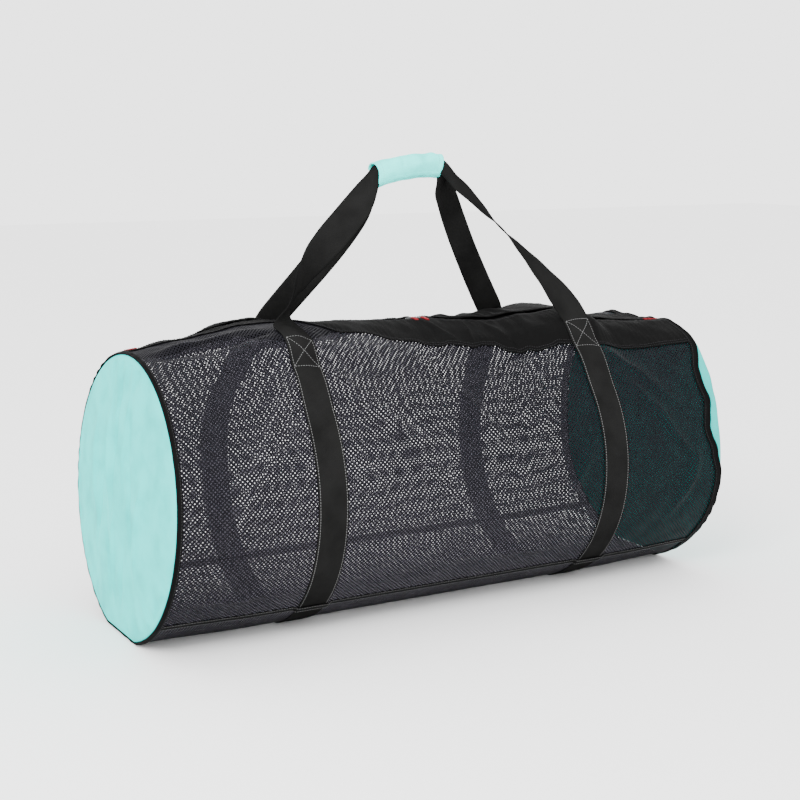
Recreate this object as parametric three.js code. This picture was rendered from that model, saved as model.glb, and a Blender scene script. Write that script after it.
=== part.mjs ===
// Mesh dive gear bag: a soft cylinder of net with turquoise ends, a long top zip,
// and two webbing handles that meet in a wrapped grip. Millimetres, +Z up,
// X along the bag, -Y the front. The bag rests on its flattened base at z = 0.
import * as THREE from 'three';
import { mergeVertices } from 'three/addons/utils/BufferGeometryUtils.js';

// Bag body
const bagLength = 850;          // rim to rim, half way up
const bodyRadius = 190;
const settle = 8;               // how far the round base is pressed flat
const leftLean = 0.058;         // the left end leans in by this share of its height
const rightLean = 0.004;
const endClearance = 3.6;       // the rims stay this far above the floor
const capDome = 11;             // bulge of each end panel
const rimRound = 10;            // radius of the turned edge of each end panel
const seamAngle = 138;          // long base seams, degrees from the top

// Cloth and trim
const netWall = 1.5;
const capWall = 1.5;
const clearance = 0.3;          // gap between pieces that touch
const strapClearance = 1.2;     // webbing bridges the small creases of the net
const hiddenClearance = 1.7;    // room left where one piece runs behind another
const bindingWidth = 11;
const bindingWall = 1.3;
const endBindingWidth = 9;
const pipingRadius = 1.5;

// Zip
const placketWidth = 75;
const placketWall = 1.2;
const slotWidth = 12;           // bare zip tape between the two plackets
const placketShape = [          // width of each placket along the bag, as a share
  { share: -1.0, front: 0.42, back: 1 },
  { share: -0.42, front: 0.42, back: 1 },
  { share: -0.30, front: 0.92, back: 1 },
  { share: 0.0, front: 1, back: 1 },
  { share: 1.0, front: 1, back: 1 },
];
const tapeWidth = 34;
const tapeWall = 1;
const coilWidth = 6;
const coilHeight = 2.4;
const sliderLength = 15;
const sliderWidth = 10;
const sliderWall = 1.4;
const pullLength = 21;
const pullWidth = 8;
const pullWall = 1.6;
const tabLength = 14;
const tabWall = 1.4;
const slidersAt = 0.03;         // where the sliders meet, share of the half length

// Webbing and handles
const webbingWidth = 42;
const webbingWall = 1.6;
const leftStrapAt = -216;
const rightStrapAt = 228;
const gripHeight = 601;         // middle of the wrapped grip above the floor
const gripLength = 102;
const gripTilt = 42;            // the grip leans back, degrees from upright
const gripArch = 5;
const gripRise = 6;             // its right end sits higher than its left
const gripWall = 2.2;
const gripPlay = 2.1;           // room round the webbing inside the grip

const halfLength = bagLength / 2;
const axisHeight = bodyRadius - settle;
const rad = THREE.MathUtils.degToRad;
const { lerp, smoothstep } = THREE.MathUtils;
const vec = (x, y, z) => new THREE.Vector3(x, y, z);

// Lift of the cloth above the plain cylinder, as shares of its radius: on the
// ridge, at the crest where the straps pull, and on the flank below it.
const pulls = [
  { share: -1.00, ridge: 0.000, crest: 0.000, flank: 0.000 },
  { share: -0.80, ridge: 0.045, crest: 0.050, flank: 0.010 },
  { share: -0.56, ridge: 0.115, crest: 0.170, flank: 0.065 },
  { share: -0.51, ridge: 0.120, crest: 0.180, flank: 0.070 },
  { share: -0.45, ridge: 0.118, crest: 0.135, flank: 0.050 },
  { share: -0.33, ridge: 0.105, crest: 0.075, flank: 0.015 },
  { share: -0.03, ridge: 0.080, crest: 0.035, flank: 0.000 },
  { share: 0.28, ridge: 0.072, crest: 0.050, flank: 0.000 },
  { share: 0.42, ridge: 0.090, crest: 0.105, flank: 0.030 },
  { share: 0.54, ridge: 0.105, crest: 0.150, flank: 0.065 },
  { share: 0.60, ridge: 0.095, crest: 0.140, flank: 0.050 },
  { share: 0.70, ridge: 0.018, crest: 0.040, flank: 0.010 },
  { share: 0.88, ridge: 0.000, crest: 0.008, flank: 0.000 },
  { share: 1.00, ridge: 0.000, crest: 0.000, flank: 0.000 },
];
// Lift at the very ends, by angle from the top: the right end has a raised shoulder.
const endShape = [
  { angle: 0, left: -0.016, right: -0.040 },
  { angle: 11, left: -0.016, right: -0.010 },
  { angle: 22, left: -0.016, right: 0.050 },
  { angle: 36, left: -0.016, right: 0.080 },
  { angle: 52, left: -0.016, right: 0.045 },
  { angle: 62, left: -0.016, right: 0.015 },
  { angle: 76, left: -0.016, right: -0.010 },
  { angle: 110, left: -0.016, right: 0.005 },
  { angle: 140, left: -0.016, right: -0.020 },
  { angle: 180, left: -0.016, right: -0.020 },
];
const ridgeAngle = 0;
const crestAngle = 22;
const flankAngle = 34;
const calmAngle = 54;

// The zip wanders across the top: degrees from the top, + towards the front.
const zipLine = [
  { share: -1.0, angle: -12 },
  { share: -0.3, angle: -9 },
  { share: 0.0, angle: 0 },
  { share: 0.3, angle: 7 },
  { share: 1.0, angle: 14 },
];

// How far in from each rim the end seam lies, as a share of the webbing width.
const leftSeam = [
  { angle: -180, inset: 0.10 },
  { angle: 180, inset: 0.10 },
];
const rightSeam = [
  { angle: -180, inset: 0.10 },
  { angle: -95, inset: 0.12 },
  { angle: -60, inset: 0.30 },
  { angle: 0, inset: 0.20 },
  { angle: 38, inset: 0.24 },
  { angle: 54, inset: 0.62 },
  { angle: 64, inset: 0.46 },
  { angle: 77, inset: 0.58 },
  { angle: 88, inset: 0.32 },
  { angle: 98, inset: 0.12 },
  { angle: 180, inset: 0.10 },
];

// Near the top each strap drifts along the bag, as a share of the webbing width.
const strapDrift = [
  { angle: 0, frontLeft: 0.10, frontRight: 0.00, backLeft: 0.95, backRight: -1.10 },
  { angle: 25, frontLeft: 0.08, frontRight: 0.00, backLeft: 0.85, backRight: -0.85 },
  { angle: 45, frontLeft: 0.02, frontRight: 0.00, backLeft: 0.35, backRight: -0.35 },
  { angle: 70, frontLeft: 0.00, frontRight: 0.00, backLeft: 0.00, backRight: 0.00 },
  { angle: 180, frontLeft: 0.00, frontRight: 0.00, backLeft: 0.00, backRight: 0.00 },
];

// Twist of each handle leg from its root (0) to the grip (1), in degrees:
// 0 shows its face to the front, 90 its edge.
const legTwist = [
  { along: 0.00, frontLeft: 8, frontRight: 6, backLeft: 2, backRight: -2 },
  { along: 0.10, frontLeft: 38, frontRight: 12, backLeft: 0, backRight: 0 },
  { along: 0.28, frontLeft: 28, frontRight: 37, backLeft: -4, backRight: 2 },
  { along: 0.43, frontLeft: 2, frontRight: 55, backLeft: -10, backRight: 5 },
  { along: 0.57, frontLeft: -20, frontRight: 68, backLeft: -18, backRight: 8 },
  { along: 0.71, frontLeft: -36, frontRight: 80, backLeft: -28, backRight: 12 },
  { along: 0.86, frontLeft: -54, frontRight: 74, backLeft: -38, backRight: 24 },
  { along: 1.00, frontLeft: -gripTilt, frontRight: gripTilt, backLeft: -gripTilt, backRight: gripTilt },
];

// How far each leg bows outward from its straight line, low down and high up, as a
// share of its length.
const legBow = {
  frontLeft: { low: 0.146, high: -0.066 },
  frontRight: { low: 0.045, high: 0 },
  backLeft: { low: -0.02, high: -0.09 },
  backRight: { low: -0.025, high: -0.039 },
};

// Inside the grip the webbing cups, more towards the right: degrees of cup.
const gripCup = [
  { along: 0.0, cup: 28 },
  { along: 0.5, cup: 38 },
  { along: 1.0, cup: 46 },
];

// Reads a column of a table at a place between its rows, eased between rows.
function read(table, key, place, column) {
  const last = table.length - 1;
  if (place <= table[0][key]) return table[0][column];
  if (place >= table[last][key]) return table[last][column];
  const next = table.findIndex((row) => row[key] > place);
  const low = table[next - 1];
  const high = table[next];
  const t = (place - low[key]) / (high[key] - low[key]);
  return lerp(low[column], high[column], t * t * (3 - 2 * t));
}

// Lift of the cloth at an angle from the top, the same to front and back.
function liftAt(share, angle) {
  const ring = [
    { angle: ridgeAngle, lift: read(pulls, 'share', share, 'ridge') },
    { angle: crestAngle, lift: read(pulls, 'share', share, 'crest') },
    { angle: flankAngle, lift: read(pulls, 'share', share, 'flank') },
    { angle: calmAngle, lift: 0 },
  ];
  const end = read(endShape, 'angle', Math.abs(angle), share < 0 ? 'left' : 'right');
  const nearEnd = smoothstep(Math.abs(share), 0.66, 1);
  return bodyRadius * (read(ring, 'angle', Math.abs(angle), 'lift') + end * nearEnd);
}
const leanOf = (share) => (share < 0 ? leftLean : rightLean);

const seamInset = (share, angle) =>
  webbingWidth * read(share < 0 ? leftSeam : rightSeam, 'angle', angle, 'inset');

// How far the edge of an end panel has turned in at a distance from the rim.
function turnIn(distance) {
  if (distance >= rimRound) return 0;
  const rest = rimRound - distance;
  return rimRound - Math.sqrt(rimRound * rimRound - rest * rest);
}

// Height of the lowest cloth: flat on the floor, raised by the webbing below it
// at the straps, and a little clear of the floor at the rims.
function lowest(share) {
  const halfStrap = webbingWidth / 2 / halfLength;
  const reach = 3 * halfStrap;
  const onStrap = [leftStrapAt, rightStrapAt].map((at) => {
    const away = Math.abs(share - at / halfLength);
    return 1 - smoothstep(away, halfStrap * 1.01, reach);
  });
  const overWebbing = (clearance + webbingWall) * Math.max(...onStrap);
  return overWebbing + endClearance * smoothstep(Math.abs(share), 0.84, 1);
}

// A point of the bag's outer surface. share runs from -1 to 1 along the bag,
// angle in degrees from the top, + towards the front.
function skin(share, angle) {
  const side = Math.sign(share);
  const inset = seamInset(share, angle) * smoothstep(Math.abs(share), 0.6, 1);
  const fromRim = (1 - Math.abs(share)) * halfLength + inset;
  const radius = bodyRadius + liftAt(share, angle) - turnIn(fromRim);
  const y = -radius * Math.sin(rad(angle));
  const z = Math.max(axisHeight + radius * Math.cos(rad(angle)), lowest(share));
  const lean = leanOf(share) * (z - axisHeight) * share * share;
  const x = share * (halfLength - lean) - side * inset;
  return vec(x, y, z);
}

// Outward direction of that surface.
function outward(share, angle) {
  const stepShare = 0.004;
  const stepAngle = 0.5;
  const low = Math.max(share - stepShare, -1);
  const high = Math.min(share + stepShare, 1);
  const along = skin(high, angle).sub(skin(low, angle));
  const round = skin(share, angle + stepAngle).sub(skin(share, angle - stepAngle));
  return round.cross(along).normalize();
}

const over = (share, angle, height) =>
  skin(share, angle).addScaledVector(outward(share, angle), height);

// Columns along the bag, with a column at each edge and middle of each strap.
function spread(from, to, count) {
  return Array.from({ length: count }, (_, i) => lerp(from, to, i / count));
}
const strapEdge = (at, side) => (at + side * webbingWidth / 2) / halfLength;
const bindingEnd = 1 - (endBindingWidth + pipingRadius + clearance) / halfLength;
const columns = [
  -1,
  ...spread(-bindingEnd, strapEdge(leftStrapAt, -1), 5),
  ...spread(strapEdge(leftStrapAt, -1), strapEdge(leftStrapAt, 1), 2),
  ...spread(strapEdge(leftStrapAt, 1), strapEdge(rightStrapAt, -1), 8),
  ...spread(strapEdge(rightStrapAt, -1), strapEdge(rightStrapAt, 1), 2),
  ...spread(strapEdge(rightStrapAt, 1), bindingEnd, 5),
  bindingEnd,
  1,
];

// Rows round the bag, from the edge of the zip slot down to the base seam. The
// first rows lie under the placket and follow the wandering zip.
const degreesOf = (width) => THREE.MathUtils.radToDeg(width / bodyRadius);
const placketAt = (share, side) =>
  placketWidth * read(placketShape, 'share', share, side > 0 ? 'front' : 'back');
const placketRows = 2;
const wallRows = 11;
function rowAngle(share, row, side) {
  const zip = read(zipLine, 'share', share, 'angle');
  const slot = degreesOf(slotWidth / 2);
  const edge = slot + degreesOf(placketAt(share, side));
  if (row <= placketRows) return zip + side * lerp(slot, edge, row / placketRows);
  const t = (row - placketRows) / (wallRows - placketRows);
  return lerp(zip + side * edge, side * seamAngle, t);
}

// A point of the faceted net at any share along one of its rows.
function onRow(share, angleOf, height) {
  const place = THREE.MathUtils.clamp(share, -1, 1);
  const last = columns.length - 1;
  const next = Math.min(columns.findIndex((c) => c > place), last);
  const high = next < 1 ? last : next;
  const low = high - 1;
  const t = (place - columns[low]) / (columns[high] - columns[low]);
  const a = over(columns[low], angleOf(columns[low]), height);
  const b = over(columns[high], angleOf(columns[high]), height);
  return a.lerp(b, t);
}

// Turns rows of points into one closed solid. Each row is a closed loop whose
// second half runs back beside the first, with its faces split the same way; the
// ends are filled between the halves.
function loft(rows, closed = false) {
  const count = rows[0].length;
  const points = rows.flat();
  const faces = [];
  const quad = (a, b, c, d, flip = false) => (flip
    ? faces.push([a, b, d], [b, c, d])
    : faces.push([a, b, c], [a, c, d]));
  const spans = closed ? rows.length : rows.length - 1;
  for (let i = 0; i < spans; i += 1) {
    const here = i * count;
    const there = ((i + 1) % rows.length) * count;
    for (let j = 0; j < count; j += 1) {
      const k = (j + 1) % count;
      quad(here + j, here + k, there + k, there + j, j >= count / 2);
    }
  }
  if (!closed) {
    const end = (rows.length - 1) * count;
    for (let j = 0; j < count / 2 - 1; j += 1) {
      const far = count - 1 - j;
      quad(j, far, far - 1, j + 1);
      quad(end + j, end + j + 1, end + far - 1, end + far);
    }
  }
  return solid(points, faces);
}

// Merges shared points, drops faces that have closed up and turns all outward.
function solid(points, faces) {
  let geometry = new THREE.BufferGeometry().setFromPoints(points);
  geometry.setIndex(faces.flat());
  geometry = mergeVertices(geometry, 1e-4);
  const index = Array.from(geometry.index.array);
  const at = geometry.attributes.position;
  const corner = (i) => new THREE.Vector3().fromBufferAttribute(at, i);
  const kept = [];
  let volume = 0;
  for (let i = 0; i < index.length; i += 3) {
    const [a, b, c] = index.slice(i, i + 3);
    if (a === b || b === c || c === a) continue;
    kept.push([a, b, c]);
    volume += corner(a).dot(corner(b).cross(corner(c)));
  }
  geometry.setIndex(kept.map(([a, b, c]) => (volume > 0 ? [a, b, c] : [a, c, b])).flat());
  geometry.computeVertexNormals();
  return geometry;
}

// A cloth wall: for each row, the outer line and the inner line back again.
function clothRow(places, outer, inner) {
  return [...places.map(outer), ...places.slice().reverse().map(inner)];
}

const bag = new THREE.Group();
function add(name, geometry, color, roughness, metalness = 0) {
  const material = new THREE.MeshStandardMaterial({ color, roughness, metalness });
  const mesh = new THREE.Mesh(geometry, material);
  mesh.name = name;
  bag.add(mesh);
  return mesh;
}

const netBlack = 0x2b2b30;
const clothBlack = 0x1b1b1c;
const webbingBlack = 0x262626;
const turquoise = 0xa8e0da;
const signalRed = 0xb8242c;

// Net walls, from the zip slot round to the base seams.
const range = (count) => Array.from({ length: count }, (_, i) => i);
function netWallSolid(side) {
  const angle = (share, row) => rowAngle(share, row, side) - (row === wallRows ? side * 0.1 : 0);
  return loft(columns.map((share) => clothRow(
    range(wallRows + 1),
    (row) => over(share, angle(share, row), 0),
    (row) => over(share, angle(share, row), -netWall),
  )));
}
add('mesh_front', netWallSolid(1), netBlack, 0.8);
add('mesh_back', netWallSolid(-1), netBlack, 0.8);

// Net base between the two seams, flat where it rests.
const flatAngle = 180 - THREE.MathUtils.radToDeg(Math.acos(axisHeight / bodyRadius));
const baseRows = 8;
function baseAngle(row) {
  const half = baseRows / 2;
  const side = row < half ? 1 : -1;
  const step = row < half ? row : baseRows - row;
  const steps = [seamAngle + 0.1, lerp(seamAngle, flatAngle, 0.5), flatAngle, lerp(flatAngle, 180, 0.5)];
  return step === half ? 180 : side * steps[step];
}
// The angle turns on past the middle of the base, so that it never jumps.
const roundAngle = (row) => (row <= baseRows / 2 ? baseAngle(row) : 360 + baseAngle(row));
function wrapAngle(angle) {
  return angle > 180 ? angle - 360 : angle;
}
function overBase(share, row, height) {
  const angle = roundAngle(row);
  const isFlat = row > 1 && row < baseRows - 1;
  const point = skin(share, wrapAngle(angle));
  const way = isFlat ? vec(0, 0, -1) : outward(share, wrapAngle(angle));
  return point.addScaledVector(way, height);
}
add('base_panel', loft(columns.map((share) => clothRow(
  range(baseRows + 1),
  (row) => overBase(share, row, 0),
  (row) => overBase(share, row, -netWall),
))), netBlack, 0.85);

// Binding folded over each long base seam, raised where a strap runs under it.
function baseBinding(side) {
  const half = degreesOf(bindingWidth / 2);
  const steps = [-half, 0, half];
  const raise = (share) => {
    const under = [leftStrapAt, rightStrapAt].some(
      (at) => Math.abs(share * halfLength - at) < webbingWidth / 2 + 1,
    );
    return under ? strapClearance + webbingWall + clearance : clearance;
  };
  return loft(columns.slice(1, -1).map((share) => clothRow(
    steps,
    (step) => over(share, side * (seamAngle + step), raise(share) + bindingWall),
    (step) => over(share, side * (seamAngle + step), raise(share)),
  )));
}
add('base_binding_front', baseBinding(1), clothBlack, 0.6);
add('base_binding_back', baseBinding(-1), clothBlack, 0.6);

// Stations round an end: the zip, the front wall, the base, the back wall.
function endAngles(side) {
  const front = range(wallRows + 1).map((row) => rowAngle(side, row, 1));
  const back = range(wallRows + 1).map((row) => rowAngle(side, row, -1)).reverse();
  const base = range(baseRows - 1).map((row) => wrapAngle(roundAngle(row + 1)));
  return [read(zipLine, 'share', side, 'angle'), ...front, ...base, ...back];
}

// Turquoise end panel: a low dome with a turned edge that reaches the seam.
function endCap(side) {
  const domeShares = [0.82, 0.55, 0.28, 0];
  return loft(endAngles(side).map((angle) => {
    const inset = seamInset(side, angle) - clearance * 2;
    const rim = skin(side, angle);
    const flat = vec(0, rim.y, rim.z - axisHeight).length() + turnIn(inset);
    const way = vec(0, rim.y, rim.z - axisHeight).normalize();
    const middle = vec(0, 0, axisHeight);
    const leanAt = (point) => side * (halfLength - leanOf(side) * (point.z - axisHeight));
    const edge = (distance, depth) => {
      const turned = Math.min(1, Math.max(0, (rimRound - distance) / rimRound));
      const tilt = turned * (1 - distance / inset);
      const level = Math.sqrt(1 - tilt * tilt);
      const point = middle.clone().addScaledVector(way, flat - turnIn(distance) - depth * level);
      return point.setX(leanAt(point) - side * (distance + depth * tilt));
    };
    const dome = (share, depth) => {
      const radius = (flat - rimRound) * share;
      const point = middle.clone().addScaledVector(way, radius);
      return point.setX(leanAt(point) + side * (capDome * (1 - share * share) - depth));
    };
    const fold = Math.min(rimRound * 0.35, inset * 0.5);
    return clothRow(
      [inset, fold, 0, ...domeShares.map((share) => -1 - share)],
      (place) => (place >= 0 ? edge(place, 0) : dome(-1 - place, 0)),
      (place) => (place >= 0 ? edge(place, capWall) : dome(-1 - place, capWall)),
    );
  }), true);
}
add('end_cap_left', endCap(-1), turquoise, 0.75);
add('end_cap_right', endCap(1), turquoise, 0.75);

// Round piping along each end seam, and flat binding on the net beside it.
function endPiping(side) {
  const sides = 6;
  return loft(endAngles(side).map((angle) => {
    const seam = over(side, angle, clearance + pipingRadius);
    const up = outward(side, angle);
    return range(sides).map((i) => {
      const turn = (i + 0.5) * 2 * Math.PI / sides;
      return seam.clone().addScaledVector(up, pipingRadius * Math.cos(turn))
        .add(vec(pipingRadius * Math.sin(turn), 0, 0));
    });
  }), true);
}
function endBinding(side) {
  const start = (2 * pipingRadius + clearance) / (1 - bindingEnd) / halfLength;
  const onFacet = (angle, t, height) =>
    over(side, angle, height).lerp(over(side * bindingEnd, angle, height), t);
  return loft(endAngles(side).map((angle) => clothRow(
    [start, 0.95],
    (t) => onFacet(angle, t, hiddenClearance + bindingWall),
    (t) => onFacet(angle, t, hiddenClearance),
  )), true);
}
for (const [side, word] of [[-1, 'left'], [1, 'right']]) {
  add(`end_piping_${word}`, endPiping(side), clothBlack, 0.5);
  add(`end_binding_${word}`, endBinding(side), clothBlack, 0.6);
}

// Zip: plackets beside the slot, tape under them, closed coil on the tape.
const inner = columns.slice(1, -1);
function placket(side) {
  return loft(inner.map((share) => clothRow(
    range(placketRows + 1),
    (row) => over(share, rowAngle(share, row, side), clearance + placketWall),
    (row) => over(share, rowAngle(share, row, side), clearance),
  )));
}
add('zip_placket_front', placket(1), clothBlack, 0.55);
add('zip_placket_back', placket(-1), clothBlack, 0.55);

const zipAngle = (share, sideways) =>
  read(zipLine, 'share', share, 'angle') + degreesOf(sideways);
const tapeTop = -netWall - hiddenClearance;
function tapePlace(share, sideways, height) {
  const side = Math.sign(sideways);
  const t = (Math.abs(sideways) - slotWidth / 2) / placketAt(share, side) * placketRows;
  const edge = over(share, rowAngle(share, 0, side), height);
  return edge.lerp(over(share, rowAngle(share, 1, side), height), t);
}
const tapeLines = [-tapeWidth / 2, -slotWidth / 2, slotWidth / 2, tapeWidth / 2];
add('zip_tape', loft(inner.map((share) => clothRow(
  tapeLines,
  (sideways) => tapePlace(share, sideways, tapeTop),
  (sideways) => tapePlace(share, sideways, tapeTop - tapeWall),
))), clothBlack, 0.7);
const coilFoot = tapeTop + clearance * 2;
const coilTop = coilFoot + coilHeight;
function coilPlace(share, side, height) {
  const low = tapePlace(share, -slotWidth / 2, height);
  const t = 0.5 + side * coilWidth / slotWidth / 2;
  return low.lerp(tapePlace(share, slotWidth / 2, height), t);
}
add('zip_coil', loft(inner.map((share) => clothRow(
  [-1, 1],
  (side) => coilPlace(share, side, coilTop),
  (side) => coilPlace(share, side, coilFoot),
))), 0x101010, 0.4);

// Two sliders ride on the coil, each with a soft pull that lies to the front.
function zipSpot(along, sideways, height) {
  const share = slidersAt + along / halfLength;
  return onRow(share, (s) => zipAngle(s, sideways), height);
}
function slider(direction) {
  const start = clearance / 2;
  const rows = [
    { along: start, half: 0.30 },
    { along: start + sliderLength * 0.35, half: 0.50 },
    { along: start + sliderLength * 0.75, half: 0.50 },
    { along: start + sliderLength, half: 0.34 },
  ];
  const foot = coilTop + clearance;
  return loft(rows.map(({ along, half }) => clothRow(
    [-half, half],
    (s) => zipSpot(direction * along, s * sliderWidth, foot + sliderWall),
    (s) => zipSpot(direction * along, s * sliderWidth, foot),
  )));
}
function pull(direction) {
  const middle = sliderLength * 0.5;
  const foot = Math.max(coilTop + sliderWall, placketWall) + 2 * clearance;
  const rows = [0, 0.35, 0.7, 1];
  return loft(rows.map((row) => clothRow(
    [-0.5, 0.5],
    (s) => zipSpot(direction * middle + s * pullWidth, row * pullLength, foot + pullWall),
    (s) => zipSpot(direction * middle + s * pullWidth, row * pullLength, foot),
  )));
}
for (const [side, word] of [[-1, 'left'], [1, 'right']]) {
  add(`zip_slider_${word}`, slider(side), 0x1c1c1e, 0.35, 0.4);
  add(`zip_pull_${word}`, pull(side), signalRed, 0.7);
}

// Red tab over each end of the zip, beside the end binding.
function endTab(side) {
  const start = 1 - (pipingRadius + 2 * clearance + endBindingWidth) / halfLength;
  const end = start - tabLength / halfLength;
  const foot = clearance * 2 + placketWall;
  return loft([start, lerp(start, end, 0.5), end].map((share) => clothRow(
    [-1, 0, 1],
    (s) => onRow(side * share, (c) => zipAngle(c, s * slotWidth * 0.8), foot + tabWall),
    (s) => onRow(side * share, (c) => zipAngle(c, s * slotWidth * 0.8), foot),
  )));
}
add('zip_end_tab_left', endTab(-1), signalRed, 0.7);
add('zip_end_tab_right', endTab(1), signalRed, 0.7);

// The grip's middle line, and the two directions across it.
const gripWide = vec(0, -Math.sin(rad(gripTilt)), -Math.cos(rad(gripTilt)));
const gripFace = vec(0, -Math.cos(rad(gripTilt)), Math.sin(rad(gripTilt)));
function gripMiddle(along) {
  const x = (along - 0.5) * gripLength;
  const z = gripHeight + gripArch * (4 * along * (1 - along) - 0.5) + gripRise * (2 * along - 1);
  return vec(x, 0, z);
}

const across = [-1, -0.5, 0, 0.5, 1];
const halfWebbing = webbingWidth / 2;

const humpOf = (cup, s) => Math.sin(rad(cup)) * halfWebbing * (0.5 - s * s);

// One row of webbing: middle, width direction, front direction, +1 where its outer
// side faces the front, and cup.
function webbingRow(middle, wide, face, outer, cup) {
  const place = (s, height) => {
    const hump = humpOf(cup, s);
    return middle.clone()
      .addScaledVector(wide, s * halfWebbing * Math.cos(rad(cup)))
      .addScaledVector(face, hump + height / Math.cos(rad(cup)));
  };
  return clothRow(
    across,
    (s) => place(s, outer * webbingWall / 2),
    (s) => place(s, -outer * webbingWall / 2),
  );
}

// The strap on the bag, from the base seam up to the root of its handle leg.
const rootRow = { frontLeft: 2.65, frontRight: 1.1, backLeft: 1, backRight: 1.8 };
const lift = { placket: placketWall + clearance, root: 1.6 };
function strapPlace(leg, s) {
  const front = leg.startsWith('front');
  const left = leg.endsWith('Left');
  const side = front ? 1 : -1;
  const at = left ? leftStrapAt : rightStrapAt;
  return (row, height) => {
    const middle = rowAngle(at / halfLength, row, side);
    const drift = read(strapDrift, 'angle', Math.abs(middle), leg) * webbingWidth;
    const share = (at + drift + s * halfWebbing) / halfLength;
    const onPlacket = lift.placket * (1 - smoothstep(row, placketRows, placketRows + 1));
    const loose = lift.root * (1 - smoothstep(row, placketRows, placketRows + 2));
    const end = row === wallRows ? side * 0.2 : 0;
    return onRow(share, (c) => rowAngle(c, row, side) - end, strapClearance + onPlacket + loose + height);
  };
}
function strapRows(leg) {
  const inward = leg.endsWith('Left') ? 1 : -1;
  const first = Math.floor(rootRow[leg]) + 1;
  const places = [...range(wallRows - first + 1).map((i) => wallRows - i), rootRow[leg]];
  return places.map((row) => clothRow(
    across,
    (s) => strapPlace(leg, s * inward)(row, webbingWall),
    (s) => strapPlace(leg, s * inward)(row, 0),
  ));
}

// The free leg of a handle, from its root to the mouth of the grip.
const mouthSpacing = webbingWall * 2;
const layerOf = (leg) => (leg.startsWith('front') ? 1 : -1);
const legSteps = 12;
function legRows(leg) {
  const left = leg.endsWith('Left');
  const inward = left ? 1 : -1;
  const layer = layerOf(leg);
  const root = strapPlace(leg, 0)(rootRow[leg], webbingWall / 2);
  const mouth = gripMiddle(left ? 0 : 1)
    .addScaledVector(gripFace, layer * mouthSpacing);
  const run = mouth.clone().sub(root);
  const length = run.length();
  const outside = vec(-inward * run.z, 0, inward * run.x).normalize();
  const bowed = (t, bow) => root.clone().lerp(mouth, t).addScaledVector(outside, bow * length);
  const { low, high } = legBow[leg];
  const path = new THREE.CubicBezierCurve3(root, bowed(1 / 3, low), bowed(2 / 3, high), mouth);
  return range(legSteps - 1).map((step) => {
    const along = (step + 1) / legSteps;
    const point = path.getPoint(along);
    const way = path.getTangent(along);
    const flat = vec(way.z, 0, -way.x).normalize();
    const deep = way.clone().cross(flat);
    const turn = rad(read(legTwist, 'along', along, leg));
    const wide = flat.multiplyScalar(Math.cos(turn)).addScaledVector(deep, Math.sin(turn));
    const settling = smoothstep(along, 0.7, 1);
    const sideways = wide.multiplyScalar(inward).lerp(gripWide, settling).normalize();
    const face = sideways.clone().cross(way).multiplyScalar(inward).normalize();
    const cup = read(gripCup, 'along', left ? 0 : 1, 'cup') * smoothstep(along, 0.8, 1);
    return webbingRow(point, sideways, face, layer, cup);
  });
}

const gripPlaces = [0, 0.15, 0.38, 0.62, 0.85, 1];

// The stretch inside the grip, one strap nested in the other.
const flareAt = (along) => (2 * along - 1) ** 4;
function gripRows(layer) {
  return gripPlaces.map((along) => {
    const cup = read(gripCup, 'along', along, 'cup');
    const nested = (webbingWall + clearance) / Math.cos(rad(cup)) / 2;
    const spacing = lerp(nested, mouthSpacing, flareAt(along));
    const middle = gripMiddle(along).addScaledVector(gripFace, layer * spacing);
    return webbingRow(middle, gripWide, gripFace, layer, cup);
  });
}

function handleStrap(front) {
  const word = front ? 'front' : 'back';
  return loft([
    ...strapRows(`${word}Left`),
    ...legRows(`${word}Left`),
    ...gripRows(front ? 1 : -1),
    ...legRows(`${word}Right`).reverse(),
    ...strapRows(`${word}Right`).reverse(),
  ]);
}
add('strap_front', handleStrap(true), webbingBlack, 0.65);
add('strap_back', handleStrap(false), webbingBlack, 0.65);

// The webbing runs on under the bag, from base seam to base seam.
function baseStrap(at) {
  const angles = range(baseRows + 1);
  return loft(angles.map((row) => clothRow(
    [-1, 0, 1],
    (s) => overBase((at + s * halfWebbing) / halfLength, row, clearance + webbingWall),
    (s) => overBase((at + s * halfWebbing) / halfLength, row, clearance),
  )));
}
add('base_strap_left', baseStrap(leftStrapAt), webbingBlack, 0.65);
add('base_strap_right', baseStrap(rightStrapAt), webbingBlack, 0.65);

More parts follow.
